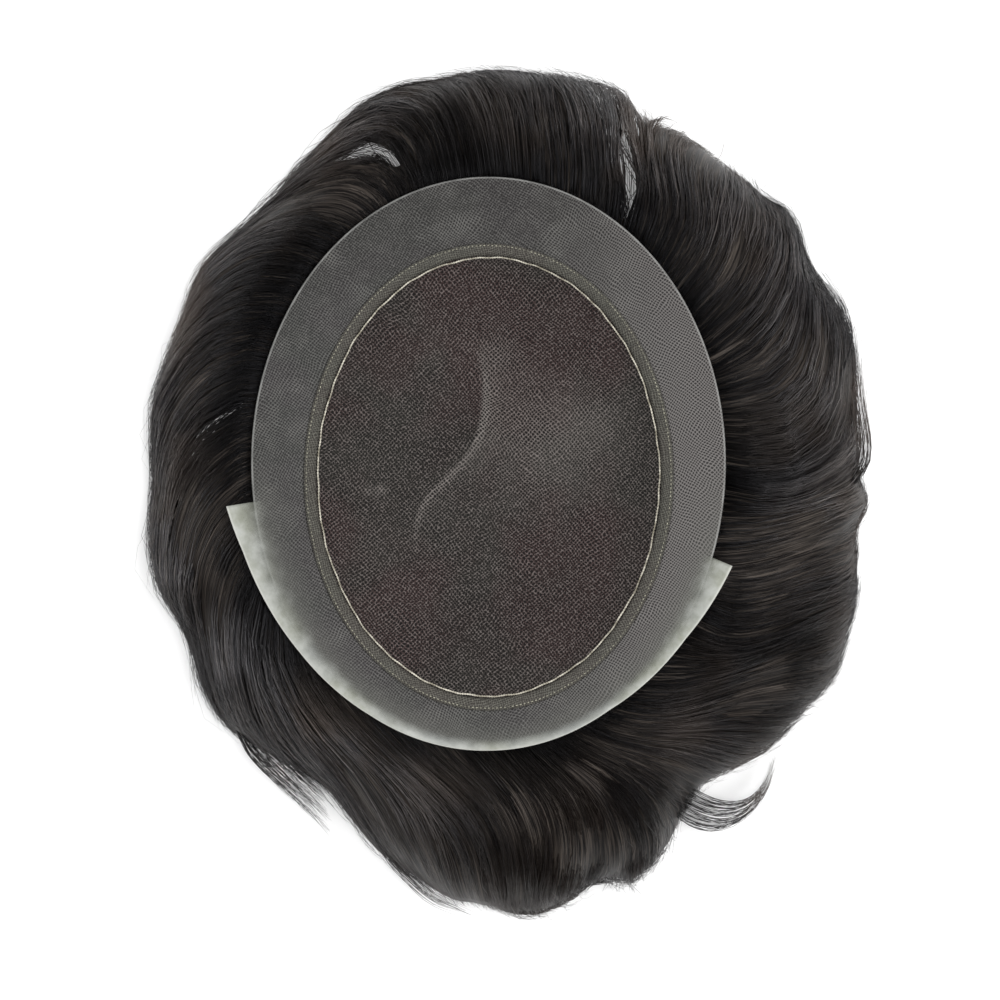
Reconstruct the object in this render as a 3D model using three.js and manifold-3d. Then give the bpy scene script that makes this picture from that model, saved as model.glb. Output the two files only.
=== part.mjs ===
// A toupee hairpiece lying on its hair, scalp side up, as a scene of named meshes.
// Millimetres, +Z up. +Y is the back of the head and -Y the forehead.
import * as THREE from "three";
import { mergeVertices } from "three/addons/utils/BufferGeometryUtils.js";
import Module from "manifold-3d";

const wasm = await Module();
wasm.setup();

// Driving dimensions of the base, the cup that sits on the scalp
const baseWidth = 182;
const baseLength = 220;
const cupDepth = 36; // from the crown to the border's edge above the ears
const cupRound = 2.1; // power of the cup's curve, 2 being a parabola
const frontRise = 5; // the border's edge stands this much higher at the forehead
const backDrop = 2; // and this much lower at the back
const crownRest = 17; // from the ground to the scalp side at the middle of the crown

// The net and what is sewn on it
const netWall = 1.1;
const borderWall = 1.1;
const borderSide = 23.5; // the border's width in plan beside the crown net
const borderBack = 29;
const borderFront = 18.5;
const tapeWidth = 4.6;
const tapeWall = 1;
const cordThick = 1.4;
const creaseHeight = 3.2;
const creaseSpread = 6.5;

// The clear skin along the forehead
const skinWall = 1;
const skinLap = 9.5; // how far it lies on the border, inwards from the border's edge
const skinTab = 11; // how far its square corner reaches past the border's edge
const skinFlare = 0.9; // past the border the skin rises this share of the cup's depth for each half width
const skinFrom = 189.5; // degrees, at the corner above the right ear
const skinTo = 337;

// The hair
const hairReach = 65; // from the border's edge to the longest lock's tip, in plan
const lockWidth = 34;
const lockDepth = 17;
const rootInset = 18; // the locks' roots lie this far inside the border's edge
const rootWidth = 20;
const hairBelow = 4; // the hair leaves the base this far under the border's edge
const crownLockWidth = 30;
const crownLockDepth = 9;
const crownLockRise = 3.2; // from the ground to the middle of such a lock, whose lower side is pressed flat
const whorlWidth = 26; // the flat at the middle of the crown, which rests on the ground

const gap = 0.3; // between neighbouring pieces
const hairRoom = 0.5; // between the base and the hair under it, which is cut with wider facets

// Grid steps round and across the pieces
const steps = { round: 48, net: 10, border: 3, cord: 5, skin: 24, cut: 7, hair: 36, lock: 7, lockSides: 8 };

// The crease that runs down the crown net, as shares of half the base's width and length
const crease = [
  { across: -0.05, along: 0.48, rise: 0.1 },
  { across: 0.02, along: 0.23, rise: 0.9 },
  { across: -0.03, along: 0.08, rise: 1 },
  { across: -0.17, along: -0.03, rise: 0.9 },
  { across: -0.3, along: -0.13, rise: 0.8 },
  { across: -0.31, along: -0.26, rise: 0.1 },
];

// How far the skin's edge stands past the border's, as a share of its corner's reach
const skinEdge = [
  { at: 189.5, past: 1 },
  { at: 200, past: 0.72 },
  { at: 225, past: 0.36 },
  { at: 245, past: 0.16 },
  { at: 270, past: 0.08 },
  { at: 296, past: 0.06 },
  { at: 318, past: 0.34 },
  { at: 337, past: 0.8 },
];

// One row for each lock round the border. at is its root's bearing and sweep its drift to the tip, in degrees;
// bend is the share of that drift made by half its reach; reach, crest and wide are shares of the hair's reach,
// of the lock form's height and of the lock width
const locks = [
  { at: 358, sweep: 22, bend: 0.42, reach: 0.86, crest: 0.92, wide: 1.15 },
  { at: 14, sweep: 20, bend: 0.36, reach: 0.8, crest: 0.8, wide: 0.8 },
  { at: 25, sweep: 19, bend: 0.34, reach: 0.78, crest: 0.94, wide: 1.1 },
  { at: 41, sweep: 14, bend: 0.34, reach: 0.74, crest: 0.84, wide: 0.9 },
  { at: 54, sweep: 7, bend: 0.5, reach: 0.71, crest: 0.94, wide: 0.9 },
  { at: 70, sweep: 8, bend: 0.2, reach: 0.7, crest: 0.86, wide: 0.8 },
  { at: 80, sweep: 14, bend: 0.24, reach: 0.72, crest: 0.97, wide: 1.1 },
  { at: 95, sweep: 18, bend: 0.24, reach: 0.71, crest: 0.84, wide: 0.85 },
  { at: 105, sweep: 27, bend: 0.34, reach: 0.6, crest: 0.98, wide: 1.1 },
  { at: 119, sweep: 32, bend: 0.4, reach: 0.55, crest: 0.84, wide: 0.8 },
  { at: 130, sweep: 38, bend: 0.44, reach: 0.6, crest: 0.96, wide: 1.15 },
  { at: 147, sweep: 36, bend: 0.46, reach: 0.63, crest: 0.84, wide: 0.85 },
  { at: 159, sweep: 34, bend: 0.46, reach: 0.67, crest: 0.95, wide: 1.1 },
  { at: 175, sweep: 32, bend: 0.46, reach: 0.65, crest: 0.82, wide: 0.8 },
  { at: 187, sweep: 34, bend: 0.5, reach: 0.66, crest: 0.92, wide: 1.1 },
  { at: 201, sweep: 33, bend: 0.54, reach: 0.62, crest: 0.84, wide: 0.8 },
  { at: 211, sweep: 33, bend: 0.58, reach: 0.66, crest: 0.94, wide: 1 },
  { at: 222, sweep: 32, bend: 0.6, reach: 0.82, crest: 0.86, wide: 0.85 },
  { at: 231, sweep: 33, bend: 0.64, reach: 0.96, crest: 0.97, wide: 1.05 },
  { at: 243, sweep: 32, bend: 0.66, reach: 1, crest: 0.86, wide: 0.9 },
  { at: 253, sweep: 33, bend: 0.66, reach: 0.97, crest: 0.98, wide: 1.1 },
  { at: 266, sweep: 32, bend: 0.64, reach: 0.9, crest: 0.85, wide: 0.8 },
  { at: 277, sweep: 38, bend: 0.6, reach: 0.93, crest: 0.92, wide: 0.95 },
  { at: 291, sweep: 38, bend: 0.56, reach: 0.92, crest: 1, wide: 1.25 },
  { at: 307, sweep: 32, bend: 0.5, reach: 0.98, crest: 0.86, wide: 0.9 },
  { at: 320, sweep: 31, bend: 0.48, reach: 0.92, crest: 0.95, wide: 1.1 },
  { at: 335, sweep: 28, bend: 0.46, reach: 0.87, crest: 0.82, wide: 0.8 },
  { at: 346, sweep: 25, bend: 0.44, reach: 0.88, crest: 0.92, wide: 0.9 },
];

// A lock's form from where it leaves the base to its tip: out is a share of its reach, high of the border's
// height, wide and deep of the lock's own width and depth, and lift is how far its row's crest counts
const lockForm = [
  { out: 0.12, high: 0.72, wide: 0.8, deep: 1, lift: 1 },
  { out: 0.45, high: 0.75, wide: 1, deep: 1, lift: 1 },
  { out: 0.78, high: 0.5, wide: 0.92, deep: 0.85, lift: 1 },
  { out: 0.98, high: 0.2, wide: 0.34, deep: 0.4, lift: 0 },
];

// The mass of hair under the locks: out is a share of the locks' mean reach, high of the border's height
const massForm = [
  { out: 0.04, high: 0.76 },
  { out: 0.38, high: 0.8 },
  { out: 0.66, high: 0.62 },
  { out: 0.86, high: 0.34 },
  { out: 0.9, high: 0.18 },
  { out: 0.74, high: 0.05 },
];

// Where the top of the mass of hair lies under the base, as shares of the way to the border's edge
const massTop = [0.3, 0.6, 0.85];

// The locks seen from below, which turn out of the whorl at the crown. sweep and start are in degrees,
// and reach is their share of the round locks' reach past the border
const crownLocks = { count: 9, sweep: 62, start: 10, reach: 0.5 };

// Their form: out is a share of their length, and wide of their width
const crownForm = [
  { out: 0.04, wide: 0.4 },
  { out: 0.36, wide: 1 },
  { out: 0.72, wide: 1 },
  { out: 0.97, wide: 0.5 },
];

const deg = Math.PI / 180;
const fullTurn = 2 * Math.PI;
const rim = { side: baseWidth / 2, end: baseLength / 2 };
const seam = { side: rim.side - borderSide, end: (baseLength - borderBack - borderFront) / 2 };
const seamForward = (borderBack - borderFront) / 2;
const hairSide = -Math.max(netWall, borderWall) - hairRoom; // the hair's side of the base, from its scalp side

// A row of a table between its neighbours, for a bearing in degrees that may go right round
function between(rows, at, column, turns) {
  const last = rows.length - 1;
  const wrapped = turns ? ((at - rows[0].at + 720) % 360) + rows[0].at : at;
  let i = rows.findIndex((row) => row.at > wrapped) - 1;
  if (i < 0) i = wrapped < rows[0].at ? 0 : turns ? last : last - 1;
  const a = rows[i];
  const b = rows[(i + 1) % rows.length];
  const width = ((b.at - a.at + 360) % 360) || 360;
  const share = Math.min(1, Math.max(0, (wrapped - a.at) / width));
  const eased = share * share * (3 - 2 * share);
  return a[column] + (b[column] - a[column]) * eased;
}

// Distance from the base's middle to the edge of the border along a bearing
function rimRadius(bearing) {
  return 1 / Math.hypot(Math.cos(bearing) / rim.side, Math.sin(bearing) / rim.end);
}

// How far the crease lifts the net at a point of the plan
function creaseLift(x, y) {
  let lift = 0;
  for (let i = 0; i + 1 < crease.length; i++) {
    const a = crease[i];
    const b = crease[i + 1];
    const ax = a.across * rim.side;
    const ay = a.along * rim.end;
    const dx = b.across * rim.side - ax;
    const dy = b.along * rim.end - ay;
    const along = Math.min(1, Math.max(0, ((x - ax) * dx + (y - ay) * dy) / (dx * dx + dy * dy)));
    const away = Math.hypot(x - ax - along * dx, y - ay - along * dy) / creaseSpread;
    const rise = a.rise + (b.rise - a.rise) * along;
    lift = Math.max(lift, creaseHeight * rise * Math.exp(-away * away));
  }
  return lift;
}

// Height of the scalp side of the base above the ground, without the net's crease
function cupHeight(x, y) {
  const out = Math.hypot(x / rim.side, y / rim.end);
  const end = (y / rim.end) ** 2 * (y > 0 ? -backDrop : frontRise);
  const depth = out < 1 ? out ** cupRound : 1 + (out - 1) * skinFlare;
  return crownRest + cupDepth * depth + end;
}

const scalpHeight = (x, y) => cupHeight(x, y) + creaseLift(x, y);

// A point at a distance from a surface over the plan, towards the scalp where it is positive
function offSurface(height, x, y, distance) {
  const step = 0.5;
  const slopeX = (height(x + step, y) - height(x - step, y)) / (2 * step);
  const slopeY = (height(x, y + step) - height(x, y - step)) / (2 * step);
  const normal = new THREE.Vector3(-slopeX, -slopeY, 1).normalize();
  return new THREE.Vector3(x, y, height(x, y)).addScaledVector(normal, distance);
}

const offScalp = (x, y, distance) => offSurface(scalpHeight, x, y, distance);
const offCup = (x, y, distance) => offSurface(cupHeight, x, y, distance);

// A point of the plan of the seam, grown or shrunk by a distance
function seamPlan(angle, grow) {
  return [(seam.side + grow) * Math.cos(angle), (seam.end + grow) * Math.sin(angle) - seamForward];
}

function rimPlan(angle, grow) {
  return [(rim.side + grow) * Math.cos(angle), (rim.end + grow) * Math.sin(angle)];
}

function mixed(a, b, share) {
  return [a[0] + (b[0] - a[0]) * share, a[1] + (b[1] - a[1]) * share];
}

function geometryOf(points, faces) {
  const geometry = new THREE.BufferGeometry();
  geometry.setAttribute("position", new THREE.Float32BufferAttribute(points.flatMap((p) => p.toArray()), 3));
  geometry.setIndex(faces.flat());
  return geometry;
}

// The faces between loops of equal length; a loop's last point joins its first
function tubeFaces(loopCount, size, closed) {
  const faces = [];
  for (let i = 0; i < (closed ? loopCount : loopCount - 1); i++) {
    for (let j = 0; j < size; j++) {
      const a = i * size + j;
      const b = i * size + ((j + 1) % size);
      const c = ((i + 1) % loopCount) * size + j;
      const d = ((i + 1) % loopCount) * size + ((j + 1) % size);
      faces.push([a, c, b], [b, c, d]);
    }
  }
  return faces;
}

// A closed body: a pole, loops of equal length and a second pole
function poledBody(first, loops, last) {
  const size = loops[0].length;
  const points = [...loops.flat(), first, last];
  const faces = tubeFaces(loops.length, size, false);
  const end = (loops.length - 1) * size;
  for (let j = 0; j < size; j++) {
    const next = (j + 1) % size;
    faces.push([points.length - 2, j, next]);
    faces.push([points.length - 1, end + next, end + j]);
  }
  return geometryOf(points, faces);
}

// A ring: closed sections that go right round
function ringBody(sections) {
  return geometryOf(sections.flat(), tubeFaces(sections.length, sections[0].length, true));
}

// A bent plate: two grids of points, joined along their four edges
function plateBody(upper, lower) {
  const rows = upper.length;
  const columns = upper[0].length;
  const sections = upper.map((row, i) => [...row, ...[...lower[i]].reverse()]);
  const faces = tubeFaces(rows, 2 * columns, false);
  for (const [row, turned] of [[0, true], [rows - 1, false]]) {
    for (let j = 0; j + 1 < columns; j++) {
      const a = row * 2 * columns + j;
      const b = a + 1;
      const d = row * 2 * columns + 2 * columns - 1 - j;
      const c = d - 1;
      faces.push(...(turned ? [[a, b, d], [b, c, d]] : [[a, d, b], [b, d, c]]));
    }
  }
  return geometryOf(sections.flat(), faces);
}

function solidOf(geometry) {
  const plain = new THREE.BufferGeometry();
  plain.setAttribute("position", geometry.getAttribute("position"));
  plain.setIndex(geometry.getIndex());
  const merged = mergeVertices(plain, 1e-4);
  return new wasm.Manifold(
    new wasm.Mesh({
      numProp: 3,
      vertProperties: merged.attributes.position.array,
      triVerts: new Uint32Array(merged.index.array),
    }),
  );
}

function geometryFrom(solid) {
  const mesh = solid.getMesh();
  const geometry = new THREE.BufferGeometry();
  const position = new Float32Array(mesh.numVert * 3);
  for (let i = 0; i < mesh.numVert; i++) {
    position.set(mesh.vertProperties.subarray(i * mesh.numProp, i * mesh.numProp + 3), i * 3);
  }
  geometry.setAttribute("position", new THREE.BufferAttribute(position, 3));
  geometry.setIndex(new THREE.BufferAttribute(mesh.triVerts, 1));
  return geometry;
}

const turnAngles = (count) => Array.from({ length: count }, (_, i) => (i / count) * fullTurn);

// The crown net, from its middle out to the seam
function crownNet() {
  const loops = [];
  const outer = -gap / 2;
  const middle = seamPlan(0, -seam.side)[1];
  const loopAt = (share, off) =>
    turnAngles(steps.round).map((angle) => offScalp(...mixed([0, middle], seamPlan(angle, outer), share), off));
  for (let i = 1; i <= steps.net; i++) loops.push(loopAt(i / steps.net, 0));
  for (let i = steps.net; i >= 1; i--) loops.push(loopAt(i / steps.net, -netWall));
  return poledBody(offScalp(0, middle, 0), loops, offScalp(0, middle, -netWall));
}

// The net border, from the seam to the base's edge
function netBorder() {
  const sections = turnAngles(steps.round).map((angle) => {
    const across = Array.from({ length: steps.border + 1 }, (_, i) =>
      mixed(seamPlan(angle, gap / 2), rimPlan(angle, 0), i / steps.border),
    );
    return [
      ...across.map((p) => offScalp(...p, -borderWall)),
      ...across.reverse().map((p) => offScalp(...p, 0)),
    ];
  });
  return ringBody(sections);
}

// The tape that covers the seam on the scalp side
function seamTape() {
  const sections = turnAngles(steps.round).map((angle) => {
    const inner = seamPlan(angle, 0);
    const outer = seamPlan(angle, tapeWidth);
    return [
      offScalp(...inner, gap),
      offScalp(...outer, gap),
      offScalp(...outer, gap + tapeWall),
      offScalp(...inner, gap + tapeWall),
    ];
  });
  return ringBody(sections);
}

// The thread cord along the tape's inner edge
function edgeCord() {
  const radius = cordThick / 2;
  const sections = turnAngles(steps.round).map((angle) =>
    turnAngles(steps.cord).map((turn) => {
      const grow = -gap - radius + radius * Math.cos(turn);
      return offScalp(...seamPlan(angle, grow), gap + radius + radius * Math.sin(turn));
    }),
  );
  return ringBody(sections);
}

// The plan of the skin along a bearing, from its outer edge in, grown by a distance
function skinPlan(at, grow) {
  const bearing = at * deg;
  const past = skinTab * between(skinEdge, at, "past", false);
  return [past + grow, gap, -skinLap / 2, -skinLap - grow].map((out) => {
    const radius = rimRadius(bearing) + out;
    return [radius * Math.cos(bearing), radius * Math.sin(bearing)];
  });
}

// The clear skin; with room round it and an upper side far up, it clears the hair
function skinBody(grow, low, high) {
  const more = grow / rim.side / deg;
  const grid = (off) =>
    Array.from({ length: steps.skin + 1 }, (_, i) => {
      const at = skinFrom - more + ((skinTo - skinFrom + 2 * more) * i) / steps.skin;
      return skinPlan(at, grow).map(off);
    });
  return plateBody(
    grid((p) => high(...p)),
    grid((p) => offScalp(...p, low)),
  );
}

const frontSkin = () => skinBody(0, gap, (x, y) => offScalp(x, y, gap + skinWall));

// Everything above the outer side of the base, which the hair keeps clear of
function baseClearance() {
  const top = crownRest + cupDepth + frontRise + hairReach;
  const loops = [];
  for (let i = steps.cut; i >= 1; i--) {
    loops.push(
      turnAngles(steps.round).map((angle) => offCup(...mixed([0, 0], rimPlan(angle, gap), i / steps.cut), hairSide)),
    );
  }
  const lid = loops[0].map((p) => new THREE.Vector3(p.x, p.y, top));
  const cup = solidOf(poledBody(new THREE.Vector3(0, 0, top), [lid, ...loops], offCup(0, 0, hairSide)));
  const skin = solidOf(skinBody(gap, 0, (x, y) => new THREE.Vector3(x, y, top)));
  return cup.add(skin);
}

const rimHeight = (bearing) =>
  scalpHeight(rimRadius(bearing) * Math.cos(bearing), rimRadius(bearing) * Math.sin(bearing));

// A point past the border's edge: a bearing, a distance outwards and a height
function pastRim(bearing, out, height) {
  const radius = rimRadius(bearing) + out;
  return new THREE.Vector3(radius * Math.cos(bearing), radius * Math.sin(bearing), height);
}

// A strip with rounded edges along stations that each give a place, a width and a depth
function stripBody(stations, count) {
  const path = new THREE.CatmullRomCurve3(stations.map((s) => s.place));
  const up = new THREE.Vector3(0, 0, 1);
  const loops = [];
  for (let i = 0; i <= count; i++) {
    const share = i / count;
    const centre = path.getPoint(share);
    const along = path.getTangent(share);
    const side = new THREE.Vector3().crossVectors(along, up).normalize();
    const over = new THREE.Vector3().crossVectors(side, along).normalize();
    const station = Math.min(stations.length - 2, Math.floor(share * (stations.length - 1)));
    const part = share * (stations.length - 1) - station;
    const size = (key) => stations[station][key] * (1 - part) + stations[station + 1][key] * part;
    loops.push(
      turnAngles(steps.lockSides).map((turn) =>
        centre
          .clone()
          .addScaledVector(side, (size("wide") / 2) * Math.cos(turn))
          .addScaledVector(over, (size("deep") / 2) * Math.sin(turn)),
      ),
    );
  }
  const middle = (loop) => loop.reduce((sum, p) => sum.add(p), new THREE.Vector3()).divideScalar(loop.length);
  return poledBody(middle(loops[0]), loops, middle(loops.at(-1)));
}

// One lock, from its root under the border to its tip
function lockBody(row) {
  const reach = hairReach * row.reach;
  const root = pastRim(row.at * deg, -rootInset, 0);
  const place = offCup(root.x, root.y, hairSide - lockDepth / 2);
  const stations = [{ place, wide: rootWidth, deep: lockDepth }];
  for (const form of lockForm) {
    const early = 2 * row.bend * form.out;
    const late = row.bend + (1 - row.bend) * (2 * form.out - 1);
    const bearing = (row.at + row.sweep * (form.out < 0.5 ? early : late)) * deg;
    const height = rimHeight(bearing) * form.high * (1 + (row.crest - 1) * form.lift);
    stations.push({
      place: pastRim(bearing, reach * form.out, height),
      wide: lockWidth * row.wide * form.wide,
      deep: lockDepth * form.deep,
    });
  }
  return stripBody(stations, steps.lock);
}

// The locks' reach where their tips lie
const tips = locks
  .map((row) => ({ at: (row.at + row.sweep) % 360, reach: row.reach * hairReach }))
  .sort((a, b) => a.at - b.at);

// The mass of hair that holds the locks together: round the outside of the base and down to the ground
function hairMass() {
  const loops = [];
  for (const share of massTop) {
    loops.push(turnAngles(steps.hair).map((angle) => offCup(...mixed([0, 0], rimPlan(angle, 0), share), 0)));
  }
  loops.push(
    turnAngles(steps.hair).map((angle) => {
      const [x, y] = rimPlan(angle, 0);
      return new THREE.Vector3(x, y, scalpHeight(x, y) - hairBelow);
    }),
  );
  const outward = (form) =>
    turnAngles(steps.hair).map((angle) => {
      const [x, y] = rimPlan(angle, 0);
      const bearing = Math.atan2(y, x);
      const reach = between(tips, ((bearing / deg) + 360) % 360, "reach", true);
      return pastRim(bearing, reach * form.out, rimHeight(bearing) * form.high);
    });
  for (const form of massForm) loops.push(outward(form));
  const whorl = turnAngles(steps.hair).map((angle) => {
    const [x, y] = mixed([0, 0], rimPlan(angle, 0), whorlWidth / baseWidth);
    return new THREE.Vector3(x, y, 0);
  });
  loops.push(whorl);
  return poledBody(offCup(0, 0, 0), loops, new THREE.Vector3(0, 0, 0));
}

// One of the locks under the crown, flattened where it lies on the ground
function crownLock(index) {
  const start = crownLocks.start + (360 / crownLocks.count) * index;
  const stations = crownForm.map((form) => {
    const at = (start + crownLocks.sweep * form.out) % 360;
    const length = rimRadius(at * deg) + crownLocks.reach * between(tips, at, "reach", true);
    const out = form.out * length;
    return {
      place: new THREE.Vector3(out * Math.cos(at * deg), out * Math.sin(at * deg), crownLockRise),
      wide: crownLockWidth * form.wide,
      deep: crownLockDepth,
    };
  });
  return stripBody(stations, steps.lock);
}

function hair() {
  const pieces = [solidOf(hairMass())];
  for (const row of locks) pieces.push(solidOf(lockBody(row)));
  for (let i = 0; i < crownLocks.count; i++) pieces.push(solidOf(crownLock(i)));
  const size = 4 * (rim.end + hairReach);
  const aboveGround = new THREE.BoxGeometry(size, size, size).translate(0, 0, size / 2);
  return wasm.Manifold.union(pieces).intersect(solidOf(aboveGround)).subtract(baseClearance());
}

const hairSolid = hair();

const materials = {
  net: new THREE.MeshStandardMaterial({ color: 0x332e2d, roughness: 0.85 }),
  border: new THREE.MeshStandardMaterial({ color: 0x77777a, roughness: 0.8 }),
  tape: new THREE.MeshStandardMaterial({ color: 0x6b6558, roughness: 0.85 }),
  cord: new THREE.MeshStandardMaterial({ color: 0xcfc5ae, roughness: 0.7 }),
  skin: new THREE.MeshStandardMaterial({ color: 0xb9bcb2, roughness: 0.4 }),
  hair: new THREE.MeshStandardMaterial({ color: 0x1d1917, roughness: 0.45 }),
};

const piece = new THREE.Group();
function add(name, geometry, material) {
  const mesh = new THREE.Mesh(geometry, material);
  mesh.name = name;
  piece.add(mesh);
}

add("crown_net", crownNet(), materials.net);
add("net_border", netBorder(), materials.border);
add("seam_tape", seamTape(), materials.tape);
add("edge_cord", edgeCord(), materials.cord);
add("front_skin", frontSkin(), materials.skin);
add("hair", geometryFrom(hairSolid), materials.hair);

// The origin is on the ground, under the middle of the whole hairpiece
const bounds = hairSolid.boundingBox();
piece.position.set(-(bounds.min[0] + bounds.max[0]) / 2, -(bounds.min[1] + bounds.max[1]) / 2, -bounds.min[2]);

const toupee = new THREE.Group();
toupee.add(piece);
export default toupee;
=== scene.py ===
import bpy
import math
import numpy as np
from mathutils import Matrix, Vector


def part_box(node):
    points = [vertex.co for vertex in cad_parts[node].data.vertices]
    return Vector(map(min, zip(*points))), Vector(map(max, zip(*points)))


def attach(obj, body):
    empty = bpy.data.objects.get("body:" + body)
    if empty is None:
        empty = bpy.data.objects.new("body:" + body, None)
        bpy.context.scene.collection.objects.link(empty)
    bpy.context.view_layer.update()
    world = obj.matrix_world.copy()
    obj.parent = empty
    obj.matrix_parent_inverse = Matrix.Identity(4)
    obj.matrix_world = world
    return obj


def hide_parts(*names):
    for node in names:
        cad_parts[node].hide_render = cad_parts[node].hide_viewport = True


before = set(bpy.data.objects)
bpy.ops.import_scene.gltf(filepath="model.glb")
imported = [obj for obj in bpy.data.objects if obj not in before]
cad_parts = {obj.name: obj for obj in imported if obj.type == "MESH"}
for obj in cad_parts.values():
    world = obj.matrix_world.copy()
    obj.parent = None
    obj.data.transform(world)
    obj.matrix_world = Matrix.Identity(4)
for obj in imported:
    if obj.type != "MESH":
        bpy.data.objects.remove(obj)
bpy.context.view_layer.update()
mm = 0.001

# The base's form, in millimetres, as the solids have it
base = {
    "halfWidth": 91,
    "halfLength": 110,
    "depth": 36,
    "round": 2.1,
    "frontRise": 5,
    "backDrop": 2,
    "crownRest": 17,
    "flare": 0.9,
    "borderSide": 23.5,
    "borderBack": 29,
    "borderFront": 18.5,
}
borderLow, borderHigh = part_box("net_border")
baseX = (borderLow.x + borderHigh.x) / 2 / mm
baseY = (borderLow.y + borderHigh.y) / 2 / mm
seamSide = base["halfWidth"] - base["borderSide"]
seamEnd = base["halfLength"] - (base["borderBack"] + base["borderFront"]) / 2
seamForward = (base["borderBack"] - base["borderFront"]) / 2
fullTurn = 2 * math.pi

# The camera looks straight down. Pixels are those of a frame of 1000 by 1000, across is a pixel's width at
# the rim's height in millimetres, and the base's middle is at its column and row
view = {
    "height": 1600,
    "across": 0.385,
    "rimHigh": 55,
    "middle": 500,
    "baseColumn": 488.5,
    "baseRow": 462.5,
}


def pixelPlace(column, row, high):
    # Where a pixel lies at that height, in millimetres from the base's middle
    across = view["across"] * (view["height"] - high) / (view["height"] - view["rimHigh"])
    x = (np.asarray(column, float) - view["middle"]) * across
    y = (view["middle"] - np.asarray(row, float)) * across
    return (x + (view["middle"] - view["baseColumn"]) * view["across"],
            y - (view["middle"] - view["baseRow"]) * view["across"])


# Small dents and rises of the net: places as shares of the base's half sizes, the rest in millimetres
dents = [
    {"across": -0.48, "along": -0.09, "rise": 0.5, "radius": 5},
    {"across": 0.55, "along": 0.11, "rise": 0.7, "radius": 11},
    {"across": 0.2, "along": -0.5, "rise": -0.6, "radius": 16},
    {"across": -0.35, "along": 0.3, "rise": -0.9, "radius": 15},
    {"across": 0.3, "along": 0.42, "rise": 0.5, "radius": 12},
]


# The crease down the crown net, in pixels, with its share of the full height
creaseHeight, creaseSpread = 2.3, {"upper": 4.2, "lower": 10}
crease = [
    {"place": (482, 345), "rise": 0.05},
    {"place": (487, 385), "rise": 0.7},
    {"place": (486, 412), "rise": 1},
    {"place": (481, 436), "rise": 1},
    {"place": (466, 461), "rise": 1},
    {"place": (444, 482), "rise": 0.9},
    {"place": (425, 499), "rise": 0.8},
    {"place": (416, 525), "rise": 0.5},
    {"place": (414, 565), "rise": 0.05},
]


def rimRadius(bearing):
    return 1 / np.hypot(np.cos(bearing) / base["halfWidth"], np.sin(bearing) / base["halfLength"])


def cupHeight(x, y):
    out = np.hypot(x / base["halfWidth"], y / base["halfLength"])
    end = (y / base["halfLength"]) ** 2 * np.where(y > 0, -base["backDrop"], base["frontRise"])
    depth = np.where(out < 1, out ** base["round"], 1 + (out - 1) * base["flare"])
    return base["crownRest"] + base["depth"] * depth + end


def creasePath():
    # The crease's points, rounded at its corners, with the rise at each
    rows = [pixelPlace(*row["place"], base["crownRest"]) + (row["rise"],) for row in crease]
    rows = np.array(rows, float)
    knots = np.arange(len(rows))
    at = np.linspace(0, len(rows) - 1, 33)
    path = np.stack([np.interp(at, knots, rows[:, k]) for k in range(3)], -1)
    return smoothed(path, 6)


def creaseLine(x, y):
    # How far each point lies from the crease, positive on its lower right, and the crease's rise there
    away = np.full_like(x, 1e3)
    rise = np.zeros_like(x)
    path = creasePath()
    for (ax, ay, riseA), (bx, by, riseB) in zip(path, path[1:]):
        dx, dy = bx - ax, by - ay
        along = np.clip(((x - ax) * dx + (y - ay) * dy) / (dx * dx + dy * dy), 0, 1)
        offX, offY = x - ax - along * dx, y - ay - along * dy
        side = np.where(dx * offY - dy * offX > 0, 1.0, -1.0)
        here = np.hypot(offX, offY) * side
        nearer = np.abs(here) < np.abs(away)
        away = np.where(nearer, here, away)
        rise = np.where(nearer, riseA + (riseB - riseA) * along, rise)
    return away, rise


def netLift(x, y):
    away, rise = creaseLine(x, y)
    spread = np.where(away > 0, creaseSpread["lower"], creaseSpread["upper"])
    lift = creaseHeight * rise * np.exp(-(np.abs(away) / spread) ** 1.8)
    for dent in dents:
        away = np.hypot(x - dent["across"] * base["halfWidth"], y - dent["along"] * base["halfLength"])
        lift = lift + dent["rise"] * np.exp(-((away / dent["radius"]) ** 2))
    return lift


def scalpHeight(x, y):
    return cupHeight(x, y) + netLift(x, y)


def offScalp(x, y, distance):
    # Points at a distance from the scalp side, towards the scalp where it is positive
    step = 0.4
    slopeX = (scalpHeight(x + step, y) - scalpHeight(x - step, y)) / (2 * step)
    slopeY = (scalpHeight(x, y + step) - scalpHeight(x, y - step)) / (2 * step)
    size = np.sqrt(slopeX ** 2 + slopeY ** 2 + 1)
    return np.stack([
        x - distance * slopeX / size,
        y - distance * slopeY / size,
        scalpHeight(x, y) + distance / size,
    ], -1)


def allRound(count):
    return np.linspace(0, fullTurn, count, endpoint=False)


def seamPlan(angle, grow):
    return (seamSide + grow) * np.cos(angle), (seamEnd + grow) * np.sin(angle) - seamForward


def rimPlan(angle, grow):
    return (base["halfWidth"] + grow) * np.cos(angle), (base["halfLength"] + grow) * np.sin(angle)


def newObject(name, mesh):
    made = bpy.data.objects.new(name, mesh)
    bpy.context.scene.collection.objects.link(made)
    return made


def inFrame(points):
    # From millimetres round the base's middle to metres in the frame
    return (np.asarray(points, float).reshape(-1, 3) + (baseX, baseY, 0)) * mm


def meshFrom(name, points, faces):
    mesh = bpy.data.meshes.new(name)
    mesh.from_pydata(inFrame(points).tolist(), [], faces)
    mesh.polygons.foreach_set("use_smooth", [True] * len(mesh.polygons))
    mesh.update()
    return mesh


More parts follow.
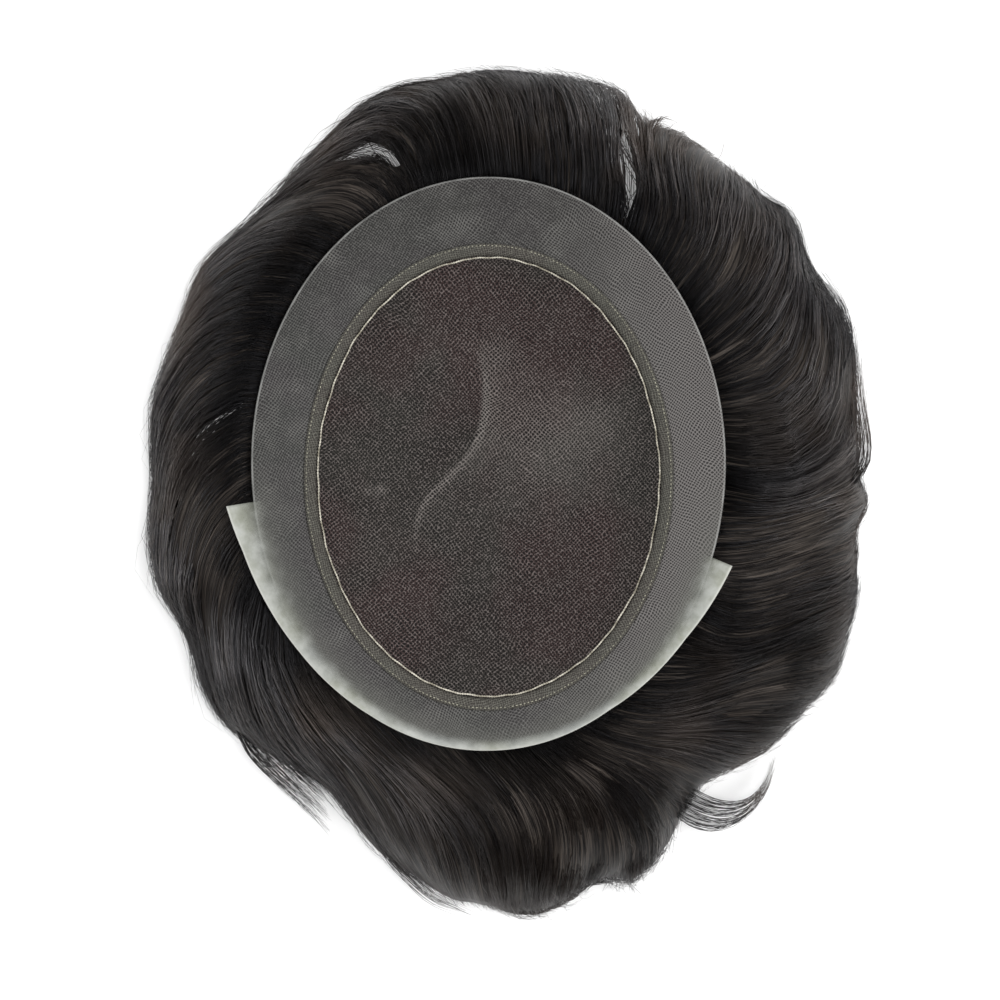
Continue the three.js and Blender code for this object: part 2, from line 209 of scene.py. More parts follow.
def bandFaces(loops, size, closed, first=0):
    # Quads between loops of equal length, each loop closed on itself
    faces = []
    for i in range(loops if closed else loops - 1):
        for j in range(size):
            a = first + i * size + j
            b = first + i * size + (j + 1) % size
            c = first + (i + 1) % loops * size + (j + 1) % size
            d = first + (i + 1) % loops * size + j
            faces.append((a, d, c, b))
    return faces


def poleFaces(first, size, last):
    # Fans from two poles, which are the two points from first on, to the first and the last loop
    faces = []
    for j in range(size):
        faces.append((first, j, (j + 1) % size))
        faces.append((first + 1, last + (j + 1) % size, last + j))
    return faces


def addValue(mesh, name, values):
    made = mesh.attributes.new(name, "FLOAT", "POINT")
    made.data.foreach_set("value", np.asarray(values, np.float32).ravel())


def addVectors(mesh, name, values):
    made = mesh.attributes.new(name, "FLOAT_VECTOR", "POINT")
    made.data.foreach_set("vector", np.asarray(values, np.float32).ravel())


def smoothed(values, rounds=1, closed=False):
    # Evens out neighbours along the first axis, with its ends held unless it is closed
    for _ in range(rounds):
        if closed:
            values = (np.roll(values, 1, 0) + 2 * values + np.roll(values, -1, 0)) / 4
        else:
            inner = (values[:-2] + 2 * values[1:-1] + values[2:]) / 4
            values = np.concatenate([values[:1], inner, values[-1:]])
    return values


class Graph:
    # Adds nodes to a tree, and takes numbers or sockets for their inputs in order
    def __init__(self, tree):
        self.tree = tree

    def node(self, kind, *values, out=0, **settings):
        made = self.tree.nodes.new(kind)
        for key, value in settings.items():
            setattr(made, key, value)
        for socket, value in zip([s for s in made.inputs if s.enabled], values):
            if isinstance(value, bpy.types.NodeSocket):
                self.tree.links.new(value, socket)
            elif value is not None:
                socket.default_value = value
        return [s for s in made.outputs if s.enabled][out]

    def math(self, operation, *values):
        return self.node("ShaderNodeMath", *values, operation=operation)

    def times(self, *values):
        # The product of two or more values, taken from the left
        product = values[0]
        for value in values[1:]:
            product = self.math("MULTIPLY", product, value)
        return product

    def plus(self, a, b):
        return self.math("ADD", a, b)

    def minus(self, a, b):
        return self.math("SUBTRACT", a, b)

    def noise(self, place, scale, detail, out=0):
        return self.node("ShaderNodeTexNoise", place, scale, detail, out=out)

    def attribute(self, name, out=2):
        return self.node("ShaderNodeAttribute", attribute_name=name, out=out)

    def ownPlace(self):
        # Object coordinates
        return self.node("ShaderNodeTexCoord", out=3)

    def parts(self, vector):
        made = self.tree.nodes.new("ShaderNodeSeparateXYZ")
        self.tree.links.new(vector, made.inputs[0])
        return made.outputs

    def vector(self, operation, *values):
        return self.node("ShaderNodeVectorMath", *values, operation=operation)

    def between(self, value, fromMin, fromMax, toMin=0.0, toMax=1.0):
        return self.node("ShaderNodeMapRange", value, fromMin, fromMax, toMin, toMax,
                         interpolation_type="SMOOTHSTEP")

    def mixColor(self, share, *colors):
        # Each colour is a socket, or its red, green and blue
        colors = [color if isinstance(color, bpy.types.NodeSocket) else (*color, 1) for color in colors]
        return self.node("ShaderNodeMix", share, *colors, data_type="RGBA")

    def mixVector(self, share, a, b):
        return self.node("ShaderNodeMix", share, a, b, data_type="VECTOR", clamp_factor=False)

    def mixFloat(self, share, a, b):
        return self.node("ShaderNodeMix", share, a, b, data_type="FLOAT", clamp_factor=False)


def newMaterial(name):
    material = bpy.data.materials.new(name)
    material.use_nodes = True
    graph = Graph(material.node_tree)
    shader = material.node_tree.nodes["Principled BSDF"]
    return material, graph, shader


def finish(graph, shader, values):
    # Links a socket to the shader's input of that name, and sets any other value on it
    for name, value in values.items():
        if isinstance(value, bpy.types.NodeSocket):
            graph.tree.links.new(value, shader.inputs[name])
        else:
            shader.inputs[name].default_value = value


def bumpOf(graph, height, strength, distance):
    node = graph.tree.nodes.new("ShaderNodeBump")
    node.inputs["Strength"].default_value = strength
    node.inputs["Distance"].default_value = distance
    graph.tree.links.new(height, node.inputs["Height"])
    return node.outputs["Normal"]


def netPattern(graph, look):
    # A net of that pitch in millimetres, with its holes in offset rows: 0 in a hole and 1 on the threads
    place = graph.ownPlace()
    turned = graph.node("ShaderNodeMapping", place, None, (0, 0, math.radians(look["turn"])))
    waver = graph.noise(turned, 55.0, 2.0, out=1)
    waver = graph.vector("SCALE", graph.vector("SUBTRACT", waver, (0.5, 0.5, 0.5)), 0.006)
    wander = graph.noise(turned, 520.0, 1.0, out=1)
    wander = graph.vector("SCALE", graph.vector("SUBTRACT", wander, (0.5, 0.5, 0.5)), look["loose"] * mm)
    moved = graph.vector("ADD", graph.vector("ADD", turned, waver), wander)
    phase = graph.vector("SCALE", moved, math.pi / (look["pitch"] * mm))
    parts = graph.parts(phase)
    across = graph.math("SINE", graph.plus(parts[0], parts[1]))
    along = graph.math("SINE", graph.minus(parts[0], parts[1]))
    hole = graph.math("ABSOLUTE", graph.times(across, along))
    grain = graph.noise(place, 1500.0, 2.0)
    return graph.between(hole, 0.78, 0.12), graph.between(grain, 0.3, 0.7), place


# The nets, tape, cord, skin and stitches, in millimetres and degrees. Flat gives the cloth before it is
# cupped: its sides against the plan's half sizes, and its area against the plan's
crownNetLook = {"pitch": 1.68, "turn": 2, "loose": 0.9, "wall": 1.1, "rings": 50, "round": 180,
                "flat": {"sides": 2.1, "area": 1.1}}
borderLook = {"pitch": 1.42, "turn": -12, "loose": 0.28, "wall": 1.1, "rings": 16, "round": 360,
              "veil": 0.8, "edge": 0.75, "flat": {"sides": 2.2, "area": 1.2}}
tapeLook = {"pitch": 1.25, "turn": 30, "loose": 0.6, "width": 4.6, "cut": 10, "longer": 1.04, "wall": 1.0,
            "gap": 0.3, "rings": 6, "round": 360}
cordLook = {"thick": 0.62, "fat": 1.15, "gap": 0.3, "wobble": 0.3, "twist": 2.2, "round": 1300, "sides": 5,
            "color": (0.60, 0.57, 0.48), "dark": (0.20, 0.18, 0.13)}
skinLook = {"lap": 8, "tab": 11, "long": 310, "meanTab": 0.4, "gap": 0.3, "wall": 0.7, "from": 189.5,
            "to": 337, "round": 200, "rings": 14}
stitchLook = {"length": 0.95, "space": 1.55, "thick": 0.5, "out": 4.2, "lift": 1.42, "round": 400,
              "color": (0.34, 0.33, 0.25), "dark": (0.10, 0.095, 0.07)}


# Painted light and shade on the crown net, with a few patches of its own colour: a place in pixels, a
# radius in millimetres and how light it is
crownPaintedLight = [
    {"place": (545, 440), "radius": 30, "tone": 0.5},
    {"place": (500, 352), "radius": 10, "tone": 0.3},
    {"place": (545, 335), "radius": 10, "tone": -0.35},
    {"place": (596, 425), "radius": 11, "tone": 0.2},
    {"place": (447, 445), "radius": 13, "tone": -0.4},
    {"place": (368, 492), "radius": 2.2, "tone": 0.5},
    {"place": (382, 490), "radius": 2.6, "tone": 0.7},
    {"place": (362, 320), "radius": 18, "tone": -0.6},
    {"place": (330, 440), "radius": 9, "tone": -0.2},
    {"place": (430, 345), "radius": 16, "tone": 0.2},
    {"place": (380, 540), "radius": 14, "tone": 0.2},
    {"place": (460, 635), "radius": 22, "tone": -0.62},
    {"place": (610, 300), "radius": 18, "tone": -0.45},
    {"place": (560, 600), "radius": 24, "tone": -0.42},
    {"place": (645, 520), "radius": 14, "tone": -0.2},
]
# Painted highlight and shade along the crease: how far off it and how wide in millimetres
creasePaintedLight = [
    {"off": -0.1, "wide": 1.5, "tone": 0.85},
    {"off": 3, "wide": 5, "tone": 0.25},
    {"off": -8, "wide": 5.5, "tone": -0.5},
]
# The light and dark colours are painted light and painted shade, mixed in by the tone attribute
crownNetColors = {
    "grey": (0.024, 0.0225, 0.0195),
    "mauve": (0.031, 0.0190, 0.0180),
    "light": (0.110, 0.100, 0.092),
    "dark": (0.012, 0.008, 0.007),
    "thread": (0.30, 0.262, 0.248),
    "hole": (0.0045, 0.0036, 0.0036),
}


def crownNetMaterial():
    material, graph, shader = newMaterial("crownNetKnit")
    thread, grain, place = netPattern(graph, crownNetLook)
    broad = graph.noise(place, 24.0, 2.0)
    colors = crownNetColors
    dull = graph.mixColor(graph.between(broad, 0.4, 0.62), colors["grey"], colors["mauve"])
    # The tone attribute brings in the painted light and shade of the crown net and its crease
    tone = graph.attribute("tone")
    paintedLight = graph.between(tone, 0.0, 1.0)
    paintedShade = graph.between(graph.times(tone, -1.0), 0.0, 1.0)
    color = graph.mixColor(paintedLight, dull, colors["light"])
    color = graph.mixColor(graph.times(paintedShade, 0.75), color, colors["dark"])
    bright = graph.mixColor(0.5, color, colors["thread"])
    grain = graph.between(grain, 0.25, 0.95)
    color = graph.mixColor(graph.times(grain, thread, 0.62), color, bright)
    patchy = graph.between(graph.noise(place, 60.0, 2.0), 0.35, 0.6, 0.8, 1.0)
    hole = graph.times(graph.minus(1.0, thread), patchy)
    color = graph.mixColor(hole, color, colors["hole"])
    finish(graph, shader, {
        "Base Color": color, "Roughness": 0.72, "Specular IOR Level": 0.12, "Sheen Weight": 0.03,
        "Normal": bumpOf(graph, thread, 0.5, 0.0004),
    })
    return material


# The back colour is painted shade, and the right one painted light
borderColors = {
    "cool": (0.050, 0.052, 0.048),
    "warm": (0.056, 0.052, 0.053),
    "back": (0.016, 0.014, 0.013),
    "mottle": (0.125, 0.123, 0.115),
    "right": (0.178, 0.165, 0.160),
    "grain": (0.185, 0.18, 0.172),
    "hole": (0.020, 0.019, 0.019),
    "veil": (0.125, 0.127, 0.114),
    "edge": (0.28, 0.28, 0.27),
}


def borderMaterial():
    material, graph, shader = newMaterial("borderNet")
    thread, grain, place = netPattern(graph, borderLook)
    broad = graph.noise(place, 30.0, 3.0)
    colors = borderColors
    tint = graph.mixColor(graph.between(broad, 0.4, 0.62), colors["cool"], colors["warm"])
    parts = graph.parts(place)
    # Painted shade towards the back of the border
    paintedBackShade = graph.times(graph.between(parts[1], 0.03, 0.11), 0.5)
    tint = graph.mixColor(paintedBackShade, tint, colors["back"])
    mottle = graph.noise(place, 75.0, 3.0)
    tint = graph.mixColor(graph.between(mottle, 0.45, 0.75, 0.0, 0.6), tint, colors["mottle"])
    # Painted light on the right side of the border
    tint = graph.mixColor(graph.between(parts[0], 0.0, 0.09), tint, colors["right"])
    tint = graph.mixColor(graph.times(grain, 0.45), tint, colors["grain"])
    hole = graph.minus(1.0, thread)
    color = graph.mixColor(graph.times(hole, 0.95), tint, colors["hole"])
    veil = graph.attribute("veil")
    cloud = graph.noise(place, 120.0, 4.0)
    veil = graph.times(veil, graph.between(cloud, 0.2, 0.7, 0.75, 1.0))
    color = graph.mixColor(veil, color, colors["veil"])
    edge = graph.times(graph.attribute("edge"), graph.between(cloud, 0.3, 0.7, 0.4, 1.0))
    color = graph.mixColor(edge, color, colors["edge"])
    finish(graph, shader, {
        "Base Color": color, "Roughness": 0.75, "Specular IOR Level": 0.15,
        "Normal": bumpOf(graph, thread, 0.5, 0.0004),
    })
    return material


tapeColors = {
    "grey": (0.052, 0.051, 0.044),
    "brown": (0.050, 0.044, 0.040),
    "grain": (0.19, 0.185, 0.155),
    "hole": (0.022, 0.019, 0.016),
}


def tapeMaterial():
    material, graph, shader = newMaterial("seamTape")
    thread, grain, place = netPattern(graph, tapeLook)
    broad = graph.noise(place, 35.0, 2.0)
    colors = tapeColors
    tint = graph.mixColor(graph.between(broad, 0.42, 0.6), colors["grey"], colors["brown"])
    tint = graph.mixColor(graph.times(grain, 0.5), tint, colors["grain"])
    hole = graph.times(graph.minus(1.0, thread), 0.85)
    finish(graph, shader, {
        "Base Color": graph.mixColor(hole, tint, colors["hole"]), "Roughness": 0.8,
        "Specular IOR Level": 0.3, "Normal": bumpOf(graph, thread, 0.6, 0.0004),
    })
    return material


def threadMaterial(name, look):
    material, graph, shader = newMaterial(name)
    place = graph.ownPlace()
    worn = graph.noise(place, 300.0, 4.0)
    finish(graph, shader, {
        "Base Color": graph.mixColor(graph.between(worn, 0.3, 0.7), look["dark"], look["color"]),
        "Roughness": 0.6, "Sheen Weight": 0.2,
    })
    return material


skinColors = {
    "cool": (0.29, 0.30, 0.285),
    "warm": (0.265, 0.275, 0.225),
    "cloud": (0.38, 0.39, 0.365),
    "edge": (0.60, 0.60, 0.56),
}


def skinMaterial():
    material, graph, shader = newMaterial("clearSkin")
    place = graph.ownPlace()
    cloud = graph.noise(place, 150.0, 5.0)
    fine = graph.noise(place, 900.0, 2.0)
    broad = graph.noise(place, 40.0, 2.0)
    colors = skinColors
    color = graph.mixColor(graph.between(broad, 0.35, 0.65), colors["cool"], colors["warm"])
    color = graph.mixColor(graph.between(cloud, 0.3, 0.8), color, colors["cloud"])
    across = graph.attribute("across")
    edge = graph.between(across, 0.95, 1.0)
    color = graph.mixColor(graph.times(edge, 0.7), color, colors["edge"])
    wander = graph.times(graph.minus(cloud, 0.5), 0.4)
    cover = graph.math("POWER", graph.between(graph.plus(across, wander), 0.1, 1.0), 1.5)
    cover = graph.times(cover, graph.between(fine, 0.1, 0.9, 0.86, 1.0))
    finish(graph, shader, {
        "Base Color": color, "Alpha": graph.times(cover, 0.95), "Roughness": 0.5,
        "Specular IOR Level": 0.35, "Normal": bumpOf(graph, cloud, 0.25, 0.0008),
    })
    return material


def closedWall(name, top, bottom, pole):
    # A wall between two grids of loops from the middle out, closed at both edges or with a middle pole
    loops, size = top.shape[:2]
    points = np.concatenate([top.reshape(-1, 3), bottom[::-1].reshape(-1, 3)])
    faces = bandFaces(2 * loops, size, not pole)
    if pole:
        points = np.concatenate([points, top[:1].mean(1), bottom[:1].mean(1)])
        faces += poleFaces(len(points) - 2, size, (2 * loops - 1) * size)
    return meshFrom(name, points, faces)


def makeCrownNet():
    look = crownNetLook
    angles = allRound(look["round"])
    shares = (np.arange(look["rings"]) + 1) / look["rings"]
    edgeX, edgeY = seamPlan(angles, -0.15)
    x = shares[:, None] * edgeX
    y = -seamForward + shares[:, None] * (edgeY + seamForward)
    mesh = closedWall("crownNet", offScalp(x, y, 0), offScalp(x, y, -look["wall"]), True)
    # Painted highlight and shade along the crease, and painted light and shade at places, stored as the
    # tone attribute
    away, rise = creaseLine(x, y)
    tone = 0
    for row in creasePaintedLight:
        tone = tone + row["tone"] * rise * np.exp(-((away - row["off"]) / row["wide"]) ** 2)
    for row in crownPaintedLight:
        atX, atY = pixelPlace(*row["place"], base["crownRest"])
        tone = tone + row["tone"] * np.exp(-((x - atX) ** 2 + (y - atY) ** 2) / row["radius"] ** 2)
    middle = [tone[0].mean()] * 2
    addValue(mesh, "tone", np.concatenate([tone.ravel(), tone[::-1].ravel(), middle]))
    mesh.materials.append(crownNetMaterial())
    return newObject("crownNet", mesh)


def makeBorder():
    # The ring between the seam and the base's edge
    look = borderLook
    angles = allRound(look["round"])
    shares = np.append(np.linspace(0, 0.985, look["rings"] - 1), 1)[:, None]
    innerX, innerY = seamPlan(angles, 0.15)
    outerX, outerY = rimPlan(angles, 0)
    x = innerX + (outerX - innerX) * shares
    y = innerY + (outerY - innerY) * shares
    mesh = closedWall("netBorder", offScalp(x, y, 0), offScalp(x, y, -look["wall"]), False)
    front = np.clip((-y / base["halfLength"] + 0.05) / 0.5, 0, 1) + 0 * shares
    veil = front * np.clip((shares - 0.35) / 0.65, 0, 1) ** 1.5 * look["veil"]
    edge = np.where(shares > 0.99, look["edge"], 0) + 0 * x
    addValue(mesh, "veil", np.concatenate([veil, veil[::-1]]))
    addValue(mesh, "edge", np.concatenate([edge, edge[::-1]]))
    mesh.materials.append(borderMaterial())
    return newObject("netBorder", mesh)


def makeTape():
    look = tapeLook
    angles = allRound(look["round"])
    grow = np.linspace(0, look["width"], look["rings"])[:, None]
    x, y = seamPlan(angles[None, :], grow)
    dome = look["wall"] * np.sqrt(np.clip(1 - (2 * grow / look["width"] - 1) ** 6, 0.05, 1))
    top = offScalp(x, y, look["gap"] + dome)
    mesh = closedWall("seamTape", top, offScalp(x, y, look["gap"]), False)
    mesh.materials.append(tapeMaterial())
    return newObject("seamTape", mesh)


def makeCord():
    # Two threads twisted round each other, as one closed ring each, joined in one mesh
    look = cordLook
    ply = look["thick"] / 4
    angles = allRound(look["round"])
    length = fullTurn * math.sqrt((seamSide ** 2 + seamEnd ** 2) / 2)
    turns = round(length / look["twist"])
    points, faces = [], []
    centre = look["gap"] + look["thick"] / 2
    for start in (0, math.pi):
        twist = angles * turns + start
        waves = np.sin(13 * angles + 1) + np.sin(31 * angles) + 0.7 * np.sin(58 * angles + 2)
        wobble = look["wobble"] * waves / 2.7
        grow = wobble - look["gap"] - look["thick"] / 2 + ply * np.cos(twist)
        high = centre + ply * np.sin(twist)
        sides = allRound(look["sides"])
        x, y = seamPlan(angles[:, None], grow[:, None] + ply * look["fat"] * np.cos(sides))
        ring = offScalp(x, y, high[:, None] + ply * look["fat"] * np.sin(sides))
        first = len(points) * look["round"] * look["sides"]
        points.append(ring.reshape(-1, 3))
        faces += [face[::-1] for face in bandFaces(look["round"], look["sides"], True, first)]
    mesh = meshFrom("edgeCord", np.concatenate(points), faces)
    mesh.materials.append(threadMaterial("cordThread", look))
    return newObject("edgeCord", mesh)


# How far the skin's edge stands past the border's, as a share of its corner's reach
skinEdge = [
    {"at": 189.5, "past": 1},
    {"at": 200, "past": 0.72},
    {"at": 225, "past": 0.36},
    {"at": 245, "past": 0.16},
    {"at": 270, "past": 0.08},
    {"at": 296, "past": 0.06},
    {"at": 318, "past": 0.34},
    {"at": 337, "past": 0.8},
]


def column(rows, key):
    return np.array([row[key] for row in rows], float)


def makeSkin():
    look = skinLook
    at = np.linspace(look["from"], look["to"], look["round"])
    past = look["tab"] * np.interp(at, column(skinEdge, "at"), column(skinEdge, "past"))
    share = np.linspace(0, 1, look["rings"])[:, None]
    out = -look["lap"] + share * (look["lap"] + past)
    radius = rimRadius(np.radians(at)) + out
    x, y = radius * np.cos(np.radians(at)), radius * np.sin(np.radians(at))
    top = offScalp(x, y, look["gap"] + look["wall"])
    low = offScalp(x, y, look["gap"])
    # Loops run round the wall's section, one for each bearing
    section = np.concatenate([top, low[::-1]]).transpose(1, 0, 2)
    count, size = section.shape[:2]
    faces = [face[::-1] for face in bandFaces(count, size, False)]
    faces.append(tuple(range(size)))
    faces.append(tuple((count - 1) * size + j for j in reversed(range(size))))
    mesh = meshFrom("frontSkin", section.reshape(-1, 3), [face[::-1] for face in faces])
    fade = look["lap"] * np.clip(0.5 + 0.5 * past / look["tab"] * 1.4, 0, 1)
    across = np.clip((out + fade) / (fade + np.maximum(past, 0.5)), 0, 1) + 0 * x
    addValue(mesh, "across", np.concatenate([across, across[::-1]]).T)
    mesh.materials.append(skinMaterial())
    return newObject("frontSkin", mesh)


def newTree(name, inputs):
    tree = bpy.data.node_groups.new(name, "GeometryNodeTree")
    tree.interface.new_socket("Geometry", in_out="INPUT", socket_type="NodeSocketGeometry")
    for label, (kind, value) in inputs.items():
        socket = tree.interface.new_socket(label, in_out="INPUT", socket_type="NodeSocket" + kind)
        if value is not None:
            socket.default_value = value
    tree.interface.new_socket("Geometry", in_out="OUTPUT", socket_type="NodeSocketGeometry")
    graph = Graph(tree)
    entry = tree.nodes.new("NodeGroupInput")
    graph.given = {socket.name: socket for socket in entry.outputs if socket.name}
    return graph


def endTree(graph, geometry, material):
    whole = graph.node("GeometryNodeRealizeInstances", geometry)
    whole = graph.node("GeometryNodeSetMaterial", whole, True, material)
    leave = graph.tree.nodes.new("NodeGroupOutput")
    graph.tree.links.new(whole, leave.inputs[0])


def runTree(name, source, graph, values):
    # Runs the tree on a mesh and keeps its result as a plain mesh
    maker = newObject(name + "Maker", source)
    modifier = maker.modifiers.new("make", "NODES")
    modifier.node_group = graph.tree
    for item in graph.tree.interface.items_tree:
        if item.item_type == "SOCKET" and item.in_out == "INPUT" and item.name in values:
            modifier[item.identifier] = values[item.name]
    ready = maker.evaluated_get(bpy.context.evaluated_depsgraph_get())
    mesh = bpy.data.meshes.new_from_object(ready)
    mesh.name = name
    maker.modifiers.remove(modifier)
    bpy.data.objects.remove(maker)
    return newObject(name, mesh)


def makeStitches():
    # A stitch at each step of a path along the tape's outer edge
    look = stitchLook
    graph = newTree("stitchRow", {
        "Space": ("Float", 0.00175), "Length": ("Float", 0.0013), "Thickness": ("Float", 0.0004),
        "Material": ("Material", None)})
    given = graph.given
    path = graph.node("GeometryNodeMeshToCurve", given["Geometry"])
    dots = graph.tree.nodes.new("GeometryNodeCurveToPoints")
    dots.mode = "LENGTH"
    graph.tree.links.new(path, dots.inputs["Curve"])
    graph.tree.links.new(given["Space"], dots.inputs["Length"])
    turn = graph.node("FunctionNodeAlignRotationToVector", None, 1.0, dots.outputs["Tangent"], axis="X")
    bead = graph.node("GeometryNodeMeshIcoSphere", 0.5, 1)
    size = graph.node("ShaderNodeCombineXYZ", given["Length"], given["Thickness"], given["Thickness"])
    rows = graph.node("GeometryNodeInstanceOnPoints", dots.outputs["Points"], True, bead, None, None,
                      turn, size)
    rows = graph.node("GeometryNodeSetShadeSmooth", graph.node("GeometryNodeRealizeInstances", rows))
    endTree(graph, rows, given["Material"])
    x, y = seamPlan(allRound(look["round"]), look["out"])
    places = inFrame(offScalp(x, y, look["lift"])).tolist()
    mesh = bpy.data.meshes.new("stitchPath")
    mesh.from_pydata(places, [(i, (i + 1) % len(places)) for i in range(len(places))], [])
    return runTree("tapeStitches", mesh, graph, {
        "Space": look["space"] * mm, "Length": look["length"] * mm, "Thickness": look["thick"] * mm,
        "Material": threadMaterial("stitchThread", look)})


# The hair's outline, in pixels
hairOutline = [
    (560, 70), (520, 66), (480, 64), (434, 75), (392, 80), (360, 98), (340, 117), (310, 151), (275, 192),
    (246, 220), (209, 250), (193, 266), (186, 286), (181, 314), (168, 344), (151, 390), (147, 410),
    (148, 441), (152, 484), (146, 515), (146, 550), (152, 590), (164, 611), (181, 627), (190, 645),
    (195, 681), (203, 703), (219, 727), (236, 741), (258, 752), (304, 774), (329, 788), (343, 813),
    (359, 834), (381, 862), (409, 881), (431, 898), (450, 909), (483, 914), (520, 921), (546, 919),
    (577, 905), (600, 880), (615, 887), (630, 896), (646, 882), (664, 867), (684, 829), (690, 803),
    (710, 785), (748, 768), (773, 755), (794, 734), (812, 711), (832, 699), (845, 681), (851, 650),
    (860, 619), (863, 594), (862, 570), (864, 551), (860, 527), (873, 514), (877, 502), (869, 484),
    (862, 474), (866, 447), (861, 416), (861, 390), (861, 347), (852, 314), (839, 288), (821, 275),
    (811, 266), (810, 244), (803, 223), (792, 203), (764, 194), (753, 179), (733, 164), (712, 147),
    (694, 134), (672, 123), (646, 116), (634, 103), (631, 90), (616, 81), (592, 77), (573, 72),
]
# The way the hair flows: a place in pixels, and the direction there in degrees from the picture's right
hairFlow = [
    (564, 164, 92), (562, 125, 93), (588, 155, 108), (580, 128, 104), (575, 100, 100), (530, 150, 97),
    (525, 120, 103), (515, 92, 112), (490, 120, 104), (478, 90, 126), (440, 165, 95), (430, 130, 115),
    (400, 105, 165), (370, 108, 200), (340, 130, 220), (415, 175, 95), (390, 150, 140), (355, 160, 208),
    (310, 190, 215), (345, 210, 160), (310, 200, 186), (270, 225, 216), (225, 265, 225), (320, 236, 152),
    (285, 226, 185), (255, 255, 205), (200, 300, 226), (300, 262, 160), (270, 262, 184), (240, 290, 205),
    (205, 325, 225), (175, 365, 236), (262, 325, 165), (240, 320, 187), (215, 340, 210), (190, 375, 230),
    (170, 410, 242), (165, 430, 248), (160, 460, 256), (240, 390, 190), (222, 402, 212), (205, 425, 233),
    (230, 438, 208), (208, 456, 229), (199, 466, 240), (183, 496, 258), (172, 520, 262), (246, 471, 180),
    (222, 492, 225), (208, 513, 247), (198, 540, 251), (191, 570, 262), (189, 600, 270), (191, 630, 277),
    (222, 520, 228), (211, 538, 249), (204, 562, 256), (200, 590, 266), (202, 620, 281), (208, 650, 281),
    (232, 577, 245), (224, 602, 260), (222, 630, 270), (225, 660, 280), (250, 580, 245), (240, 615, 258),
    (239, 640, 274), (243, 673, 281), (254, 635, 289), (270, 673, 296), (150, 530, 268), (152, 570, 276),
    (160, 600, 292), (170, 585, 276), (180, 620, 300), (185, 640, 285), (285, 650, 286), (318, 697, 318),
    (348, 723, 317), (384, 756, 316), (420, 795, 309), (446, 835, 295), (460, 877, 280), (286, 705, 298),
    (306, 733, 310), (329, 764, 303), (350, 803, 295), (369, 840, 300), (370, 790, 304), (389, 825, 296),
    (406, 859, 296), (215, 690, 282), (236, 692, 277), (260, 720, 292), (300, 760, 312), (428, 870, 290),
    (493, 766, 334), (516, 785, 309), (532, 815, 291), (540, 848, 274), (539, 877, 259), (530, 760, 335),
    (556, 780, 309), (572, 811, 286), (576, 847, 266), (562, 757, 346), (595, 774, 318), (616, 802, 298),
    (630, 838, 285), (634, 873, 268), (602, 756, 349), (638, 767, 334), (665, 786, 314), (676, 805, 290),
    (658, 737, 357), (710, 744, 349), (750, 751, 347), (686, 710, 24), (732, 686, 27), (777, 663, 25),
    (681, 689, 22), (719, 672, 23), (760, 651, 28), (802, 626, 26), (837, 611, 15), (780, 680, 5),
    (820, 685, 354), (790, 706, 356), (746, 728, 352), (640, 728, 8), (590, 745, 357), (430, 765, 328),
    (460, 790, 315), (490, 810, 300), (500, 850, 285), (500, 890, 275), (450, 757, 336), (408, 741, 327),
    (744, 562, 20), (784, 550, 22), (829, 535, 18), (738, 539, 14), (784, 524, 18), (845, 509, 15),
    (710, 625, 300), (724, 645, 345), (753, 636, 14), (790, 618, 20), (830, 590, 14), (790, 590, 18),
    (750, 600, 10), (760, 535, 19), (792, 523, 19), (746, 488, 335), (765, 498, 350), (787, 498, 13),
    (814, 487, 27), (843, 473, 24), (758, 471, 335), (782, 474, 10), (803, 464, 38), (821, 444, 52),
    (835, 420, 67), (844, 390, 79), (845, 358, 96), (839, 328, 107), (828, 301, 116), (749, 418, 345),
    (778, 423, 12), (802, 412, 38), (818, 391, 64), (825, 365, 84), (822, 338, 100), (747, 394, 350),
    (771, 395, 18), (790, 384, 46), (803, 361, 66), (813, 334, 76), (732, 368, 5), (754, 363, 27),
    (774, 348, 49), (788, 324, 66), (795, 296, 78), (736, 343, 48), (752, 320, 52), (768, 297, 57),
    (781, 275, 65), (740, 340, 55), (766, 296, 61), (783, 260, 70), (791, 230, 88), (786, 207, 118),
    (744, 260, 68), (753, 230, 80), (754, 203, 92), (728, 239, 76), (730, 206, 88), (722, 180, 92),
    (696, 203, 92), (688, 177, 104), (677, 153, 98), (663, 200, 92), (656, 179, 108), (646, 160, 108),
    (643, 141, 92), (655, 126, 62), (673, 130, 45), (694, 146, 38), (716, 160, 42), (738, 182, 50),
    (624, 170, 95), (625, 145, 86), (629, 117, 86), (627, 95, 108), (612, 90, 120), (700, 270, 58),
    (680, 240, 66), (650, 225, 76), (715, 310, 48), (700, 300, 50), (604, 190, 92),
]
# Spread says how wide each reading of the direction counts. Far from all readings the hair runs outwards
# and, by that share, round, and it leaves the border outwards too
flowLook = {"spread": 6.5, "step": 1.6, "steps": 100, "high": 38, "outlineHigh": 18, "last": 1.35,
            "plain": 0.003, "round": 0.6, "leave": 0.45, "bent": 3}
# The hair's upper side: high is a share of the border's height at that share of the way to the outline
hairCrest = [
    {"out": 0, "high": 0.86},
    {"out": 0.12, "high": 0.88},
    {"out": 0.32, "high": 0.88},
    {"out": 0.55, "high": 0.82},
    {"out": 0.75, "high": 0.68},
    {"out": 0.9, "high": 0.50},
    {"out": 1.05, "high": 0.30},
    {"out": 1.2, "high": 0.14},
    {"out": 1.35, "high": 0.05},
]
gapCrossed = 0.12  # the share of strands that run across a gap
# Thin places and gaps between locks, in pixels: half the gap's width in millimetres, and how far it runs
# either way as a share of the strand
partings = [
    {"place": (633, 165), "half": 5.6, "long": 0.22},
    {"place": (637, 118), "half": 2.2, "long": 0.12},
    {"place": (364, 147), "half": 9, "long": 0.14},
    {"place": (200, 432), "half": 2.6, "long": 0.13},
    {"place": (222, 218), "half": 2.6, "long": 0.12},
]
